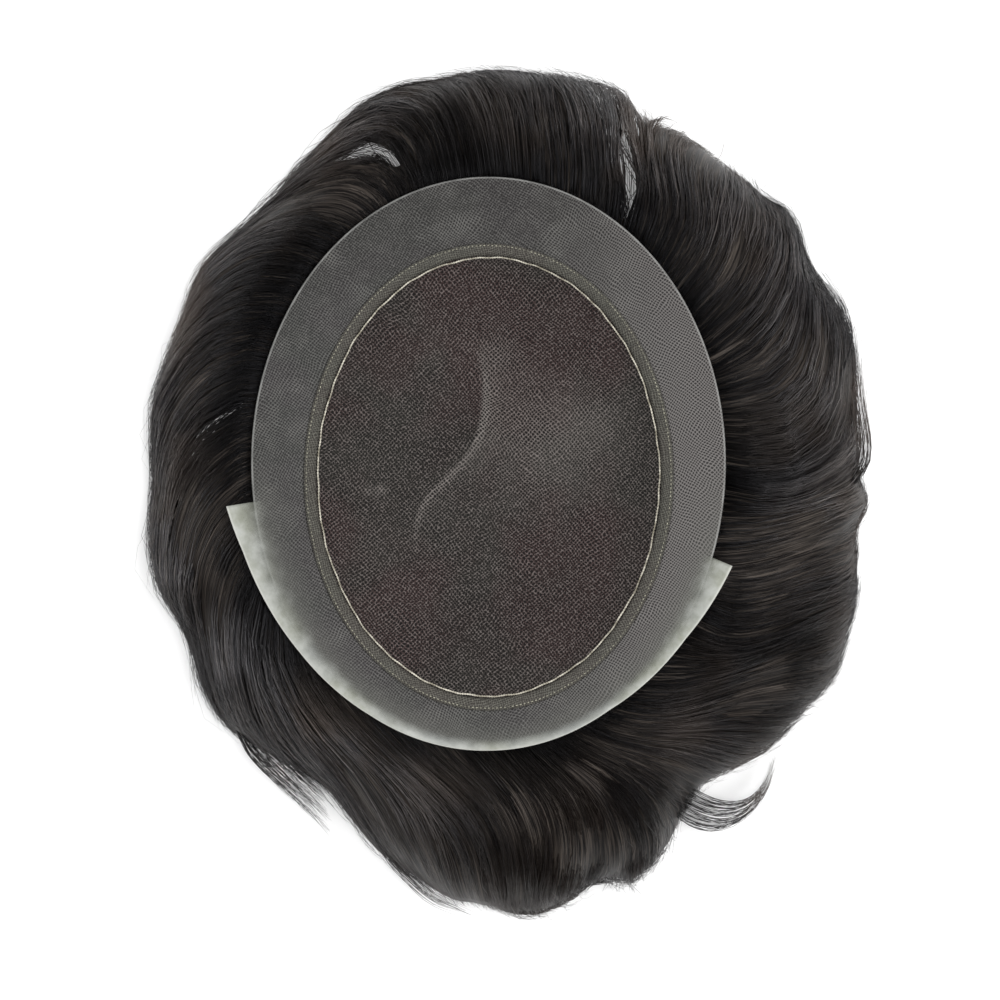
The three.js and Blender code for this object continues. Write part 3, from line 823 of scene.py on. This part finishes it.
# The guides of the strands: even is how far their roots stand evenly, soft where their ends begin to close
# up to the outline, and underCup how far they stay under the cup
guide = {
    "rows": 120,
    "columns": 33,
    "fine": 720,
    "even": 0.32,
    "soft": 0.7,
    "rootInside": 12,
    "rootLong": 0.12,
    "underCup": 4,
    "lowRootInside": 34,
    "lowReach": 0.96,
    "lowHeight": 2.2,
    "lowRise": 30,
}
# Clumps and locks are counted for each row of guides.
strandLook = {"points": 10, "radius": 0.155, "clumps": 10.0, "locks": 0.4, "perSector": 3300, "quick": 3,
              "seed": 40}
seedStep = 20  # the draws of one strand take that many seeds
sectors = [
    {"name": "hairRight", "from": 0, "to": 30},
    {"name": "hairBack", "from": 30, "to": 60},
    {"name": "hairLeft", "from": 60, "to": 90},
    {"name": "hairFront", "from": 90, "to": 120},
]


def hairReach(bearing):
    # How far the outline lies past the rim at a bearing in radians
    x, y = pixelPlace([p[0] for p in hairOutline], [p[1] for p in hairOutline], flowLook["outlineHigh"])
    at = np.arctan2(y, x)
    order = np.argsort(at)
    return np.interp(bearing, at[order], np.hypot(x, y)[order], period=fullTurn) - rimRadius(bearing)


def flowAt(place):
    # The direction of the hair at some places, from the readings near each
    table = np.array(hairFlow, float)
    x, y = pixelPlace(table[:, 0], table[:, 1], flowLook["high"])
    turn = np.radians(table[:, 2])
    away = (place[:, None, 0] - x) ** 2 + (place[:, None, 1] - y) ** 2
    weight = np.exp(-away / (2 * flowLook["spread"] ** 2))
    radius = np.hypot(place[:, 0], place[:, 1])[:, None]
    outwards = place / radius
    bearing = np.arctan2(place[:, 1], place[:, 0])
    share = ((radius[:, 0] - rimRadius(bearing)) / hairReach(bearing))[:, None]
    along = np.stack([-outwards[:, 1], outwards[:, 0]], -1)
    flow = np.stack([weight @ np.cos(turn), weight @ np.sin(turn)], -1)
    flow = flow + flowLook["plain"] * (outwards + flowLook["round"] * along)
    flow = flow / np.linalg.norm(flow, axis=1, keepdims=True)
    flow = flow + outwards * np.clip(flowLook["leave"] - flowLook["bent"] * share, 0, 1)
    return flow / np.linalg.norm(flow, axis=1, keepdims=True)


def hairGuides():
    # Places of the upper and the lower layer of hair, a row for each root
    fine = guide["fine"]
    bearing = np.arange(fine) * fullTurn / fine
    place = np.stack([rimRadius(bearing) * np.cos(bearing), rimRadius(bearing) * np.sin(bearing)], -1)
    steps = [place]
    for _ in range(flowLook["steps"]):
        place = place + flowLook["step"] * flowAt(place)
        steps.append(place)
    path = np.stack(steps, 1)
    bearing = np.arctan2(path[..., 1], path[..., 0])
    share = (np.hypot(path[..., 0], path[..., 1]) - rimRadius(bearing)) / hairReach(bearing)
    past = share > flowLook["last"]
    last = np.where(past.any(1), past.argmax(1), path.shape[1] - 1)
    even = np.linspace(0, 1, guide["columns"])
    count = np.arange(path.shape[1])
    path = np.stack([np.stack([np.interp(even * last[i], count, path[i, :, k]) for k in (0, 1)], -1)
                     for i in range(fine)])

    # Rows stand closer where the hair spreads
    apart = np.linalg.norm(np.roll(path[:, -1], -1, 0) - path[:, -1], axis=1)
    middle = np.linalg.norm(np.roll(path[:, 20], -1, 0) - path[:, 20], axis=1)
    far = np.concatenate([[0], np.cumsum(np.minimum(apart + middle, 40))])
    mixed = (1 - guide["even"]) * far / far[-1] + guide["even"] * np.arange(fine + 1) / fine
    row = np.interp(np.arange(guide["rows"]) / guide["rows"], mixed, np.arange(fine + 1))
    low = np.floor(row).astype(int)
    more = (row - low)[:, None, None]
    path = path[low % fine] * (1 - more) + path[(low + 1) % fine] * more
    path = smoothed(path, 3, closed=True)

    bearing = np.arctan2(path[..., 1], path[..., 0])
    rim = rimRadius(bearing)
    reach = hairReach(bearing)
    share = (np.hypot(path[..., 0], path[..., 1]) - rim) / reach
    rimHigh = cupHeight(rim * np.cos(bearing), rim * np.sin(bearing))
    soft = guide["soft"]
    near = soft + (1 - soft) * np.tanh((share - soft) / (1 - soft))
    clamped = np.where(share < soft, share, near)
    t = even[None, :]

    def layer(inside, reachShare):
        radius = rim + reachShare * reach * clamped - inside * (1 - t) ** 7
        return radius * np.cos(bearing), radius * np.sin(bearing)

    x, y = layer(guide["rootInside"], 1)
    crest = rimHigh * np.interp(share, column(hairCrest, "out"), column(hairCrest, "high"))
    ceiling = cupHeight(x, y) - guide["underCup"]
    upper = np.stack([x, y, np.where(t < guide["rootLong"], np.minimum(crest, ceiling), crest)], -1)
    x, y = layer(guide["lowRootInside"], guide["lowReach"])
    high = guide["lowHeight"] + guide["lowRise"] * (1 - t) ** 5 + 0 * x
    lower = np.stack([x, y, np.minimum(high, cupHeight(x, y) - guide["underCup"])], -1)
    for layerPath in (upper, lower):
        layerPath[..., 2] = smoothed(layerPath[..., 2].T, 2).T
    return upper, lower


def guideMesh(name, upper, lower):
    # The upper guides' points, each with its place on the lower guides
    mesh = bpy.data.meshes.new(name)
    mesh.from_pydata(inFrame(upper).tolist(), [], [])
    addVectors(mesh, "low", inFrame(lower))
    return mesh


def strandTree(gaps):
    # Strands between two layers of guides, drawn together in clumps and locks and parted at the gaps
    graph = newTree("strands", {
        "Strands": ("Int", 100), "Points": ("Int", 8), "Rows": ("Int", 120), "Columns": ("Int", 33),
        "From": ("Float", 0.0), "To": ("Float", 1.0), "Radius": ("Float", 0.0002),
        "Clumps": ("Float", 2.0), "Clump pull": ("Float", 0.24), "Locks": ("Float", 0.25),
        "Lock pull": ("Float", 0.16), "Bend": ("Float", 0.25), "Loose": ("Float", 0.5),
        "Wave": ("Float", 0.3), "Shorter": ("Float", 0.2), "Lift": ("Float", 0.0022),
        "Frizz": ("Float", 0.0017), "Stray": ("Float", 0.1), "Deepest": ("Float", 1.0),
        "Swell": ("Float", 0.036), "Ground": ("Float", 0.0006), "Seed": ("Int", 0),
        "Material": ("Material", None)})
    given, value = graph.given, graph.math
    times, plus, minus = graph.times, graph.plus, graph.minus

    def chance(number, seed, low=0.0, high=1.0):
        seed = plus(given["Seed"], seed)
        return graph.node("FunctionNodeRandomValue", low, high, number, seed, data_type="FLOAT")

    line = graph.node("GeometryNodeCurvePrimitiveLine", (0, 0, 0), (0, 0, 1))
    line = graph.node("GeometryNodeResampleCurve", line, True, given["Points"])
    lines = graph.node("GeometryNodeDuplicateElements", line, True, given["Strands"], domain="SPLINE")
    index = graph.node("GeometryNodeInputIndex")
    strand = value("FLOOR", value("DIVIDE", plus(index, 0.5), given["Points"]))
    step = minus(index, times(strand, given["Points"]))
    t = value("DIVIDE", step, minus(given["Points"], 1))
    spread = value("DIVIDE", plus(strand, chance(strand, 1)), given["Strands"])
    start = graph.mixFloat(spread, given["From"], given["To"])
    clump = value("FLOOR", times(start, given["Clumps"]))
    clumpId = plus(clump, 1000)
    clumpAt = value("DIVIDE", plus(clump, chance(clumpId, 2, 0.25, 0.75)), given["Clumps"])
    lock = value("FLOOR", times(plus(start, chance(clumpId, 3, -0.6, 0.6)), given["Locks"]))
    lockId = plus(lock, 5000)
    lockAt = value("DIVIDE", plus(lock, chance(lockId, 4, 0.3, 0.7)), given["Locks"])
    length = minus(1.0, times(given["Shorter"], value("POWER", chance(strand, 5), 2.5)))
    length = minus(length, times(given["Shorter"], chance(clumpId, 6, 0, 0.35)))
    way = times(t, length)
    late = times(way, way)

    place = graph.mixFloat(times(given["Clump pull"], graph.between(way, 0.05, 0.9)), start, clumpAt)
    place = graph.mixFloat(times(given["Lock pull"], late), place, lockAt)
    place = plus(place, times(given["Bend"], chance(clumpId, 7, -1, 1), late))
    place = plus(place, times(given["Loose"], chance(strand, 8, -1, 1), late))
    swing = value("SINE", plus(times(way, 9.0), chance(lockId, 9, 0, fullTurn)))
    place = plus(place, times(given["Wave"], swing, way))
    for gap in gaps:
        away = minus(place, gap["row"])
        opens = graph.between(way, gap["from"], gap["open"])
        window = times(opens, graph.between(way, gap["to"], gap["open"]))
        wide = times(gap["half"], window, value("GREATER_THAN", chance(strand, 20), gapCrossed))
        moved = value("SQRT", plus(times(away, away), times(wide, wide)))
        place = plus(times(value("SIGN", away), moved), gap["row"])

    # Between four points of the guides
    turnsAway = value("FLOOR", value("DIVIDE", place, given["Rows"]))
    place = minus(place, times(turnsAway, given["Rows"]))
    row = value("FLOOR", place)
    rowShare = minus(place, row)
    nextRow = value("MODULO", plus(row, 1), given["Rows"])
    along = times(way, minus(given["Columns"], 1))
    column0 = value("FLOOR", along)
    columnShare = minus(along, column0)
    column1 = value("MINIMUM", plus(column0, 1), minus(given["Columns"], 1))
    upperPlace = graph.node("GeometryNodeInputPosition")
    lowerPlace = graph.node("GeometryNodeInputNamedAttribute", "low", data_type="FLOAT_VECTOR")

    def sampled(source):
        def at(rowNumber, columnNumber):
            number = plus(times(rowNumber, given["Columns"]), columnNumber)
            return graph.node("GeometryNodeSampleIndex", given["Geometry"], source, number,
                              data_type="FLOAT_VECTOR", domain="POINT")
        near = graph.mixVector(columnShare, at(row, column0), at(row, column1))
        far = graph.mixVector(columnShare, at(nextRow, column0), at(nextRow, column1))
        return graph.mixVector(rowShare, near, far)

    depth = plus(times(chance(strand, 10), 0.62), times(chance(clumpId, 11), 0.38))
    depth = times(value("POWER", depth, 2.0), given["Deepest"])
    point = graph.mixVector(depth, sampled(upperPlace), sampled(lowerPlace))

    arch = value("SINE", times(way, math.pi))
    lift = times(chance(clumpId, 12, -0.7, 1), given["Lift"], arch)
    broad = graph.noise(point, 32.0, 1.0)
    broad = times(minus(broad, 0.5), given["Swell"], arch)
    lift = plus(lift, broad)
    point = graph.vector("ADD", point, graph.node("ShaderNodeCombineXYZ", 0.0, 0.0, lift))
    stray = value("LESS_THAN", chance(strand, 13), given["Stray"])
    amount = times(given["Frizz"], plus(1.0, times(stray, 4.0)))
    apart = [chance(strand, seed, 0, 0.05) for seed in (14, 15)]
    apart = graph.node("ShaderNodeCombineXYZ", *apart, 0.0)
    swirl = graph.noise(graph.vector("ADD", point, apart), 34.0, 1.0, out=1)
    swirl = graph.vector("SUBTRACT", swirl, (0.5, 0.5, 0.5))
    swirl = graph.vector("SCALE", swirl, times(amount, 2.0, way))
    point = graph.vector("ADD", point, swirl)
    parts = graph.parts(point)
    floor = plus(given["Ground"], chance(strand, 16, 0, 0.0012))
    height = value("MAXIMUM", parts[2], floor)
    point = graph.node("ShaderNodeCombineXYZ", parts[0], parts[1], height)
    lines = graph.node("GeometryNodeSetPosition", lines, True, point)

    tone = plus(times(chance(strand, 17), 0.78), times(chance(clumpId, 18), 0.22))
    for name, kept in (("along", way), ("tone", tone)):
        lines = graph.node("GeometryNodeStoreNamedAttribute", lines, True, name, kept, data_type="FLOAT")
    taper = minus(1.0, times(0.7, value("POWER", t, 3.0)))
    thick = times(given["Radius"], taper, chance(strand, 19, 0.75, 1.25))
    section = graph.node("GeometryNodeCurvePrimitiveCircle", 3, 1.0)
    strands = graph.node("GeometryNodeCurveToMesh", lines, section, thick, True)
    strands = graph.node("GeometryNodeSetShadeSmooth", strands)
    endTree(graph, strands, given["Material"])
    return graph


# Broad painted sheen and shade on the hair: a place in pixels, a radius in millimetres, and how light and
# how warm it is
hairPaintedSheen = [
    {"place": (545, 850), "radius": 44, "light": -1.0, "warm": 0.2},
    {"place": (650, 800), "radius": 30, "light": -0.6, "warm": 0.1},
    {"place": (800, 680), "radius": 40, "light": -1.0, "warm": 0.0},
    {"place": (672, 718), "radius": 13, "light": 0.5, "warm": 0.9},
    {"place": (450, 770), "radius": 20, "light": 0.4, "warm": 0.8},
    {"place": (250, 660), "radius": 26, "light": 0.35, "warm": -0.7},
    {"place": (210, 370), "radius": 28, "light": 0.8, "warm": 0.1},
    {"place": (190, 520), "radius": 26, "light": 0.8, "warm": -0.2},
    {"place": (580, 115), "radius": 20, "light": 0.1, "warm": -0.6},
    {"place": (470, 120), "radius": 26, "light": -0.3, "warm": 0.3},
    {"place": (300, 190), "radius": 30, "light": -0.15, "warm": 0.3},
    {"place": (800, 430), "radius": 36, "light": 0.85, "warm": 0.2},
    {"place": (740, 240), "radius": 26, "light": 0.15, "warm": 0.0},
]


def toneAt(graph, place, key):
    # The rows' values, each fading out over its radius, added up
    total = 0.0
    for row in hairPaintedSheen:
        x, y = pixelPlace(*row["place"], flowLook["high"])
        middle = ((baseX + float(x)) * mm, (baseY + float(y)) * mm, flowLook["high"] * mm)
        away = graph.vector("DISTANCE", place, middle)
        near = graph.between(away, 1.6 * row["radius"] * mm, 0.0, 0.0, row[key])
        total = graph.plus(near, total)
    return total


# The root colour is painted shade at the roots under the rim, and the fold colour painted shade in broad
# folds
hairColors = {
    "dark": (0.0040, 0.0035, 0.0037),
    "light": (0.088, 0.072, 0.063),
    "warm": (0.042, 0.028, 0.020),
    "paintedFoldShade": (0.006, 0.0055, 0.0062),
    "root": (0.0018, 0.0016, 0.0017),
}
# The tint of its shine; the root and fold tints dull it as painted shade
hairGloss = {
    "dark": (0.34, 0.335, 0.36),
    "light": (0.92, 0.93, 1.0),
    "warm": (1.0, 0.80, 0.65),
    "paintedFoldShade": (0.16, 0.16, 0.18),
    "root": (0.06, 0.06, 0.065),
}


def hairMaterial():
    # Painted shade at the roots and in broad random folds between the locks, and painted sheen and shade
    # with a warm part where the rows say so
    material, graph, shader = newMaterial("hairStrands")
    tone = graph.attribute("tone")
    along = graph.attribute("along")
    place = graph.ownPlace()
    # The rows' painted sheen and shade, as a level for colour and shine
    paintedLightLevel = graph.math("MAXIMUM", graph.plus(toneAt(graph, place, "light"), 1.0), 0.14)
    heat = toneAt(graph, place, "warm")
    light = graph.math("MINIMUM", graph.times(graph.math("POWER", tone, 2.4), paintedLightLevel), 1.0)
    color = graph.mixColor(light, hairColors["dark"], hairColors["light"])
    broad = graph.noise(place, 22.0, 2.0)
    warm = graph.plus(graph.between(broad, 0.5, 0.66), graph.times(heat, 1.2))
    warm = graph.math("MINIMUM", graph.math("MAXIMUM", warm, 0.0), 1.5)
    warm = graph.times(warm, graph.between(paintedLightLevel, 0.0, 1.0, 0.3, 1.0))
    # Painted shade in broad random folds, in colour and shine
    paintedFoldShade = graph.between(broad, 0.46, 0.32)
    color = graph.mixColor(graph.times(warm, 0.5), color, hairColors["warm"])
    color = graph.mixColor(graph.times(paintedFoldShade, 0.5), color, hairColors["paintedFoldShade"])
    # Painted shade near the roots, under the rim, in colour and shine
    root = graph.between(along, 0.5, 0.1)
    color = graph.mixColor(root, color, hairColors["root"])
    gloss = graph.mixColor(light, hairGloss["dark"], hairGloss["light"])
    gloss = graph.mixColor(graph.times(warm, 0.45), gloss, hairGloss["warm"])
    gloss = graph.mixColor(graph.times(paintedFoldShade, 0.45), gloss, hairGloss["paintedFoldShade"])
    gloss = graph.mixColor(graph.times(root, 0.85), gloss, hairGloss["root"])
    gloss = graph.vector("MULTIPLY", gloss, graph.node("ShaderNodeCombineXYZ", paintedLightLevel, paintedLightLevel, paintedLightLevel))
    finish(graph, shader, {
        "Base Color": color, "Specular Tint": graph.vector("MINIMUM", gloss, (1, 1, 1)),
        "Roughness": 0.36, "IOR": 1.5, "Specular IOR Level": 1.0,
    })
    return material


# The shell of hair under the strands: inner and home are its loops under the cup and back, as shares
backingLook = {
    "end": 0.94,
    "below": 3.6,
    "loops": 26,
    "fine": 3,
    "locks": 1.1,
    "ground": 2.6,
    "inner": (0.08, 0.3, 0.5, 0.7, 0.84),
    "underCup": 2.4,
    "home": (0.7, 0.4, 0.15),
    "tuck": 0.985,
    "edgeHigh": 0.5,
    "underHigh": 0.12,
    "dark": (0.0025, 0.0021, 0.0021),
    "light": (0.050, 0.040, 0.033),
    "darkGloss": (0.12, 0.11, 0.11),
    "lightGloss": (0.9, 0.82, 0.75),
}


def backingMaterial():
    # Reads the flow along the hair, so its fine lines run the way the strands do
    look = backingLook
    material, graph, shader = newMaterial("hairBacking")
    flow = graph.attribute("flow", out=1)
    fine = graph.noise(flow, 260.0, 3.0)
    locks = graph.noise(flow, 40.0, 2.0)
    light = graph.times(graph.between(fine, 0.35, 0.75), graph.between(locks, 0.3, 0.7, 0.4, 1.0))
    finish(graph, shader, {
        "Base Color": graph.mixColor(light, look["dark"], look["light"]),
        "Specular Tint": graph.mixColor(light, look["darkGloss"], look["lightGloss"]),
        "Roughness": 0.45, "Normal": bumpOf(graph, fine, 0.7, 0.0006),
    })
    return material


def makeBacking(upper, gaps):
    # The mass of hair under the base and under the strands, as one closed shell along the guides
    look = backingLook
    rows, columns = upper.shape[:2]
    at = np.arange(rows * look["fine"]) / look["fine"]
    low = np.floor(at).astype(int)
    more = (at - low)[:, None, None]
    path = upper[low] * (1 - more) + upper[(low + 1) % rows] * more
    bearing = np.arctan2(path[..., 1], path[..., 0])
    share = (np.hypot(path[..., 0], path[..., 1]) - rimRadius(bearing)) / hairReach(bearing)
    past = share > look["end"]
    last = np.where(past.any(1), past.argmax(1), columns - 1) / (columns - 1)
    last = smoothed(last, 12, closed=True)
    for gap in gaps:
        off = (at - gap["row"] + rows / 2) % rows - rows / 2
        back = np.exp(-(off / (gap["half"] + 0.9)) ** 4)
        last = last * (1 - back) + np.minimum(last, gap["from"]) * back
    count = np.arange(columns)
    loops = []
    turn = at * fullTurn / rows
    angle = np.arctan2(path[:, 0, 1] / base["halfLength"], path[:, 0, 0] / base["halfWidth"])
    rimX, rimY = rimPlan(angle, 0)
    for step in look["inner"]:
        x, y = rimX * step, rimY * step
        loops.append(np.stack([x, y, cupHeight(x, y) - look["underCup"]], -1))
    steps = [0.0] * len(loops)
    for step in np.linspace(0, 1, look["loops"]):
        far = last * step * (columns - 1)
        place = [[np.interp(far[i], count, path[i, :, k]) for k in range(3)] for i in range(len(at))]
        place = np.array(place)
        wave = np.sin(turn * 47 + 2 * step) + np.sin(turn * 71 + 1.7 + 3 * step)
        high = place[:, 2] - look["below"] + look["locks"] * wave * step
        place[:, 2] = np.maximum(high, look["ground"] + 1)
        loops.append(place)
        steps.append(step)
    topLoops = loops[-look["loops"]:]
    for back in range(0, look["loops"], 3):
        over = topLoops[-1 - back]
        share = look["underHigh"] if back else look["edgeHigh"]
        high = np.maximum(over[:, 2] * share, look["ground"])
        loops.append(np.stack([over[:, 0] * look["tuck"], over[:, 1] * look["tuck"], high], -1))
    first = topLoops[0]
    for inwards in look["home"]:
        loops.append(np.stack([first[:, 0] * inwards, first[:, 1] * inwards, 0 * at + look["ground"]], -1))
    steps += [1.0] * (len(loops) - len(steps))
    grid = np.stack(loops)
    count, size = grid.shape[:2]
    points = np.concatenate([grid.reshape(-1, 3), grid[:1].mean(1), grid[-1:].mean(1)])
    faces = bandFaces(count, size, False) + poleFaces(len(points) - 2, size, (count - 1) * size)
    mesh = meshFrom("hairBacking", points, faces)
    flow = np.stack([np.stack([np.cos(turn), np.sin(turn), 0 * turn + 0.02 * step], -1) for step in steps])
    addVectors(mesh, "flow", np.concatenate([flow.reshape(-1, 3), np.zeros((2, 3))]))
    mesh.materials.append(backingMaterial())
    return newObject("hairBacking", mesh)


def findGap(upper, parting):
    # The guide row and the share of the way at which the hair passes a place
    x, y = pixelPlace(*parting["place"], flowLook["high"])
    away = np.hypot(upper[..., 0] - x, upper[..., 1] - y)
    row, at = np.unravel_index(np.argmin(away), away.shape)
    nextRow = upper[(row + 1) % guide["rows"], at]
    step = np.hypot(*(nextRow - upper[row, at])[:2])
    share = float(at) / (guide["columns"] - 1)
    return {"row": float(row), "half": parting["half"] / max(step, 0.5), "open": share,
            "from": share - parting["long"], "to": share + parting["long"]}


def makeHair():
    look = strandLook
    upper, lower = hairGuides()
    gaps = [findGap(upper, parting) for parting in partings]
    backing = makeBacking(upper, gaps)
    graph = strandTree(gaps)
    material = hairMaterial()
    made = []
    for number, sector in enumerate(sectors):
        strands = look["perSector"] // 1
        made.append(runTree(sector["name"], guideMesh("guides", upper, lower), graph, {
            "Strands": strands, "Points": look["points"], "Rows": guide["rows"],
            "Columns": guide["columns"], "From": float(sector["from"]), "To": float(sector["to"]),
            "Radius": look["radius"] * mm, "Clumps": look["clumps"], "Locks": look["locks"],
            "Seed": look["seed"] + seedStep * number, "Material": material}))
        print(sector["name"], len(made[-1].data.polygons), "faces")
    return backing, made


# Locks that stand off the rest: the pixels of their inner and outer hairs from root to tip, their heights
# at root and tip and their frizz in millimetres
wisps = [
    {"count": 90, "high": (22, 6), "frizz": 2.0,
     "inner": [(668, 772), (696, 790), (720, 802), (746, 801), (765, 786), (771, 757)],
     "outer": [(664, 806), (686, 826), (713, 834), (742, 824), (767, 798), (781, 752)]},
    {"count": 50, "high": (26, 8), "frizz": 1.2,
     "inner": [(838, 492), (856, 466), (856, 436), (851, 402), (848, 362), (846, 340)],
     "outer": [(842, 498), (873, 468), (873, 440), (866, 408), (862, 368), (858, 340)]},
    {"count": 34, "high": (30, 12), "frizz": 3.2,
     "inner": [(642, 172), (642, 136), (649, 119), (661, 119)],
     "outer": [(654, 172), (654, 131), (664, 114), (682, 125)]},
    {"count": 60, "high": (26, 8), "frizz": 1.6,
     "inner": [(818, 376), (832, 334), (826, 298), (812, 273)],
     "outer": [(836, 392), (856, 342), (848, 303), (822, 266)]},
    {"count": 60, "high": (20, 4), "frizz": 1.4,
     "inner": [(580, 840), (592, 868), (590, 893)],
     "outer": [(618, 845), (632, 880), (646, 898)]},
    {"count": 150, "high": (18, 4), "frizz": 5.0,
     "inner": [(236, 680), (262, 732), (301, 768), (338, 803)],
     "outer": [(222, 690), (246, 759), (294, 799), (334, 842)]},
    {"count": 60, "high": (18, 4), "frizz": 2.5,
     "inner": [(364, 770), (392, 840), (428, 882), (470, 905)],
     "outer": [(350, 785), (384, 862), (428, 904), (480, 922)]},
]
wispLook = {"points": 12, "radius": 0.11, "clumps": 14.0, "locks": 3.0, "loose": 0.3, "bend": 0.05,
            "wave": 0.05, "shorter": 0.45, "lift": 1, "deep": 3, "seed": 300}
looseLook = {"count": 900, "points": 15, "radius": 0.09, "clumps": 1.0, "locks": 0.4, "loose": 2.2,
             "bend": 0.4, "shorter": 0.3, "frizz": 3.2, "lift": 4, "grow": 1.012, "above": 1.5,
             "deep": 3, "seed": 700}


def joined(name, pieces):
    with bpy.context.temp_override(active_object=pieces[0], selected_editable_objects=pieces):
        bpy.ops.object.join()
    pieces[0].name = name
    pieces[0].data.name = name
    return pieces[0]


def makeWisps():
    # The locks off the outline, and single loose hairs over the whole
    graph = strandTree([])
    material = bpy.data.materials["hairStrands"]
    pieces = []
    along = np.linspace(0, 1, guide["columns"])
    for number, wisp in enumerate(wisps):
        rows = []
        for line in (wisp["inner"], wisp["outer"]):
            place = np.array(line, float)
            knots = np.linspace(0, 1, len(line))
            pixels = smoothed(np.stack([np.interp(along, knots, place[:, k]) for k in (0, 1)], -1), 12)
            high = np.interp(along, (0, 1), wisp["high"])
            x, y = pixelPlace(pixels[:, 0], pixels[:, 1], high)
            rows.append(np.stack([x, y, high], -1))
        upper = np.stack(rows)
        look = wispLook
        source = guideMesh("wispGuides", upper, upper - (0, 0, look["deep"]))
        pieces.append(runTree("wisp", source, graph, {
            "Strands": wisp["count"], "Points": look["points"], "Rows": 2, "Columns": guide["columns"],
            "From": 0.0, "To": 1.0, "Radius": look["radius"] * mm, "Clumps": look["clumps"],
            "Locks": look["locks"], "Loose": look["loose"], "Bend": look["bend"], "Wave": look["wave"],
            "Shorter": look["shorter"], "Frizz": wisp["frizz"] * mm, "Stray": 0.0, "Swell": 0.0,
            "Lift": look["lift"] * mm, "Seed": look["seed"] + seedStep * number, "Material": material}))
    look = looseLook
    upper = hairGuides()[0]
    above = upper * (look["grow"], look["grow"], 1) + (0, 0, look["above"])
    pieces.append(runTree("loose", guideMesh("looseGuides", above, upper - (0, 0, look["deep"])), graph, {
        "Strands": look["count"], "Points": look["points"], "Rows": guide["rows"],
        "Columns": guide["columns"], "From": 0.0, "To": float(guide["rows"]), "Radius": look["radius"] * mm,
        "Clumps": look["clumps"], "Locks": look["locks"], "Clump pull": 0.0, "Loose": look["loose"],
        "Bend": look["bend"], "Shorter": look["shorter"], "Frizz": look["frizz"] * mm,
        "Lift": look["lift"] * mm, "Seed": look["seed"], "Material": material}))
    return joined("hairWisps", pieces)


stageLook = {"floor": 6.0, "color": 0.72, "glow": 0.32, "world": 0.42, "sensor": 36}


def makeStage():
    half = stageLook["floor"] / 2
    mesh = bpy.data.meshes.new("floor")
    corners = [(-half, -half, 0), (half, -half, 0), (half, half, 0), (-half, half, 0)]
    mesh.from_pydata(corners, [], [(0, 1, 2, 3)])
    floor = newObject("floor", mesh)
    material, graph, shader = newMaterial("paleFloor")
    finish(graph, shader, {
        "Base Color": (stageLook["color"],) * 3 + (1,), "Roughness": 0.9, "Specular IOR Level": 0.1,
        "Emission Color": (1, 1, 1, 1), "Emission Strength": stageLook["glow"],
    })
    mesh.materials.append(material)
    camera = bpy.data.cameras.new("camera")
    camera.sensor_width = stageLook["sensor"]
    seen = 2 * view["middle"] * view["across"]
    camera.lens = camera.sensor_width * (view["height"] - view["rimHigh"]) / seen
    camera.clip_end = 20
    eye = newObject("camera", camera)
    x, y = pixelPlace(view["middle"], view["middle"], view["rimHigh"])
    eye.location = Vector((baseX + float(x), baseY + float(y), view["height"])) * mm
    bpy.context.scene.camera = eye


def makeLights():
    lights = [
        {"name": "softOverhead", "place": (0.25, -0.1, 1.7), "size": 0.45, "power": 12},
        {"name": "rightSide", "place": (1.0, -0.2, 0.9), "size": 0.5, "power": 9},
        {"name": "leftSide", "place": (-1.1, -0.1, 0.9), "size": 0.6, "power": 9},
        {"name": "backFill", "place": (0.35, 1.1, 0.9), "size": 0.5, "power": 8},
    ]
    for row in lights:
        data = bpy.data.lights.new(row["name"], "AREA")
        data.size = row["size"]
        data.energy = row["power"]
        lamp = newObject(row["name"], data)
        lamp.location = row["place"]
        lamp.rotation_euler = (-Vector(row["place"])).to_track_quat("-Z", "Y").to_euler()
    world = bpy.data.worlds.new("studio")
    bpy.context.scene.world = world
    world.use_nodes = True
    background = world.node_tree.nodes["Background"].inputs
    background["Color"].default_value = (1, 1, 1, 1)
    background["Strength"].default_value = stageLook["world"]
    bpy.context.scene.view_settings.view_transform = "Standard"


makeStage()
makeLights()
print("stage and lights are ready")

crownNet = makeCrownNet()
border = makeBorder()
tape = makeTape()
cord = makeCord()
skin = makeSkin()
stitches = makeStitches()
print("the base is ready")

backing, strands = makeHair()
strands.append(makeWisps())
print("the hair is ready")

standIns = [(crownNet, "crown_net"), (border, "net_border"), (tape, "seam_tape"), (cord, "edge_cord"),
            (skin, "front_skin"), (backing, "hair")] + [(piece, "hair") for piece in strands]
for piece, node in standIns:
    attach(piece, "root")
    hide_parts(node)
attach(stitches, "root")

total = 0
for piece in [crownNet, border, tape, cord, skin, stitches, backing] + strands:
    triangles = sum(len(face.vertices) - 2 for face in piece.data.polygons)
    total += triangles
    print(piece.name, triangles, "triangles")
print("in all", total, "triangles")
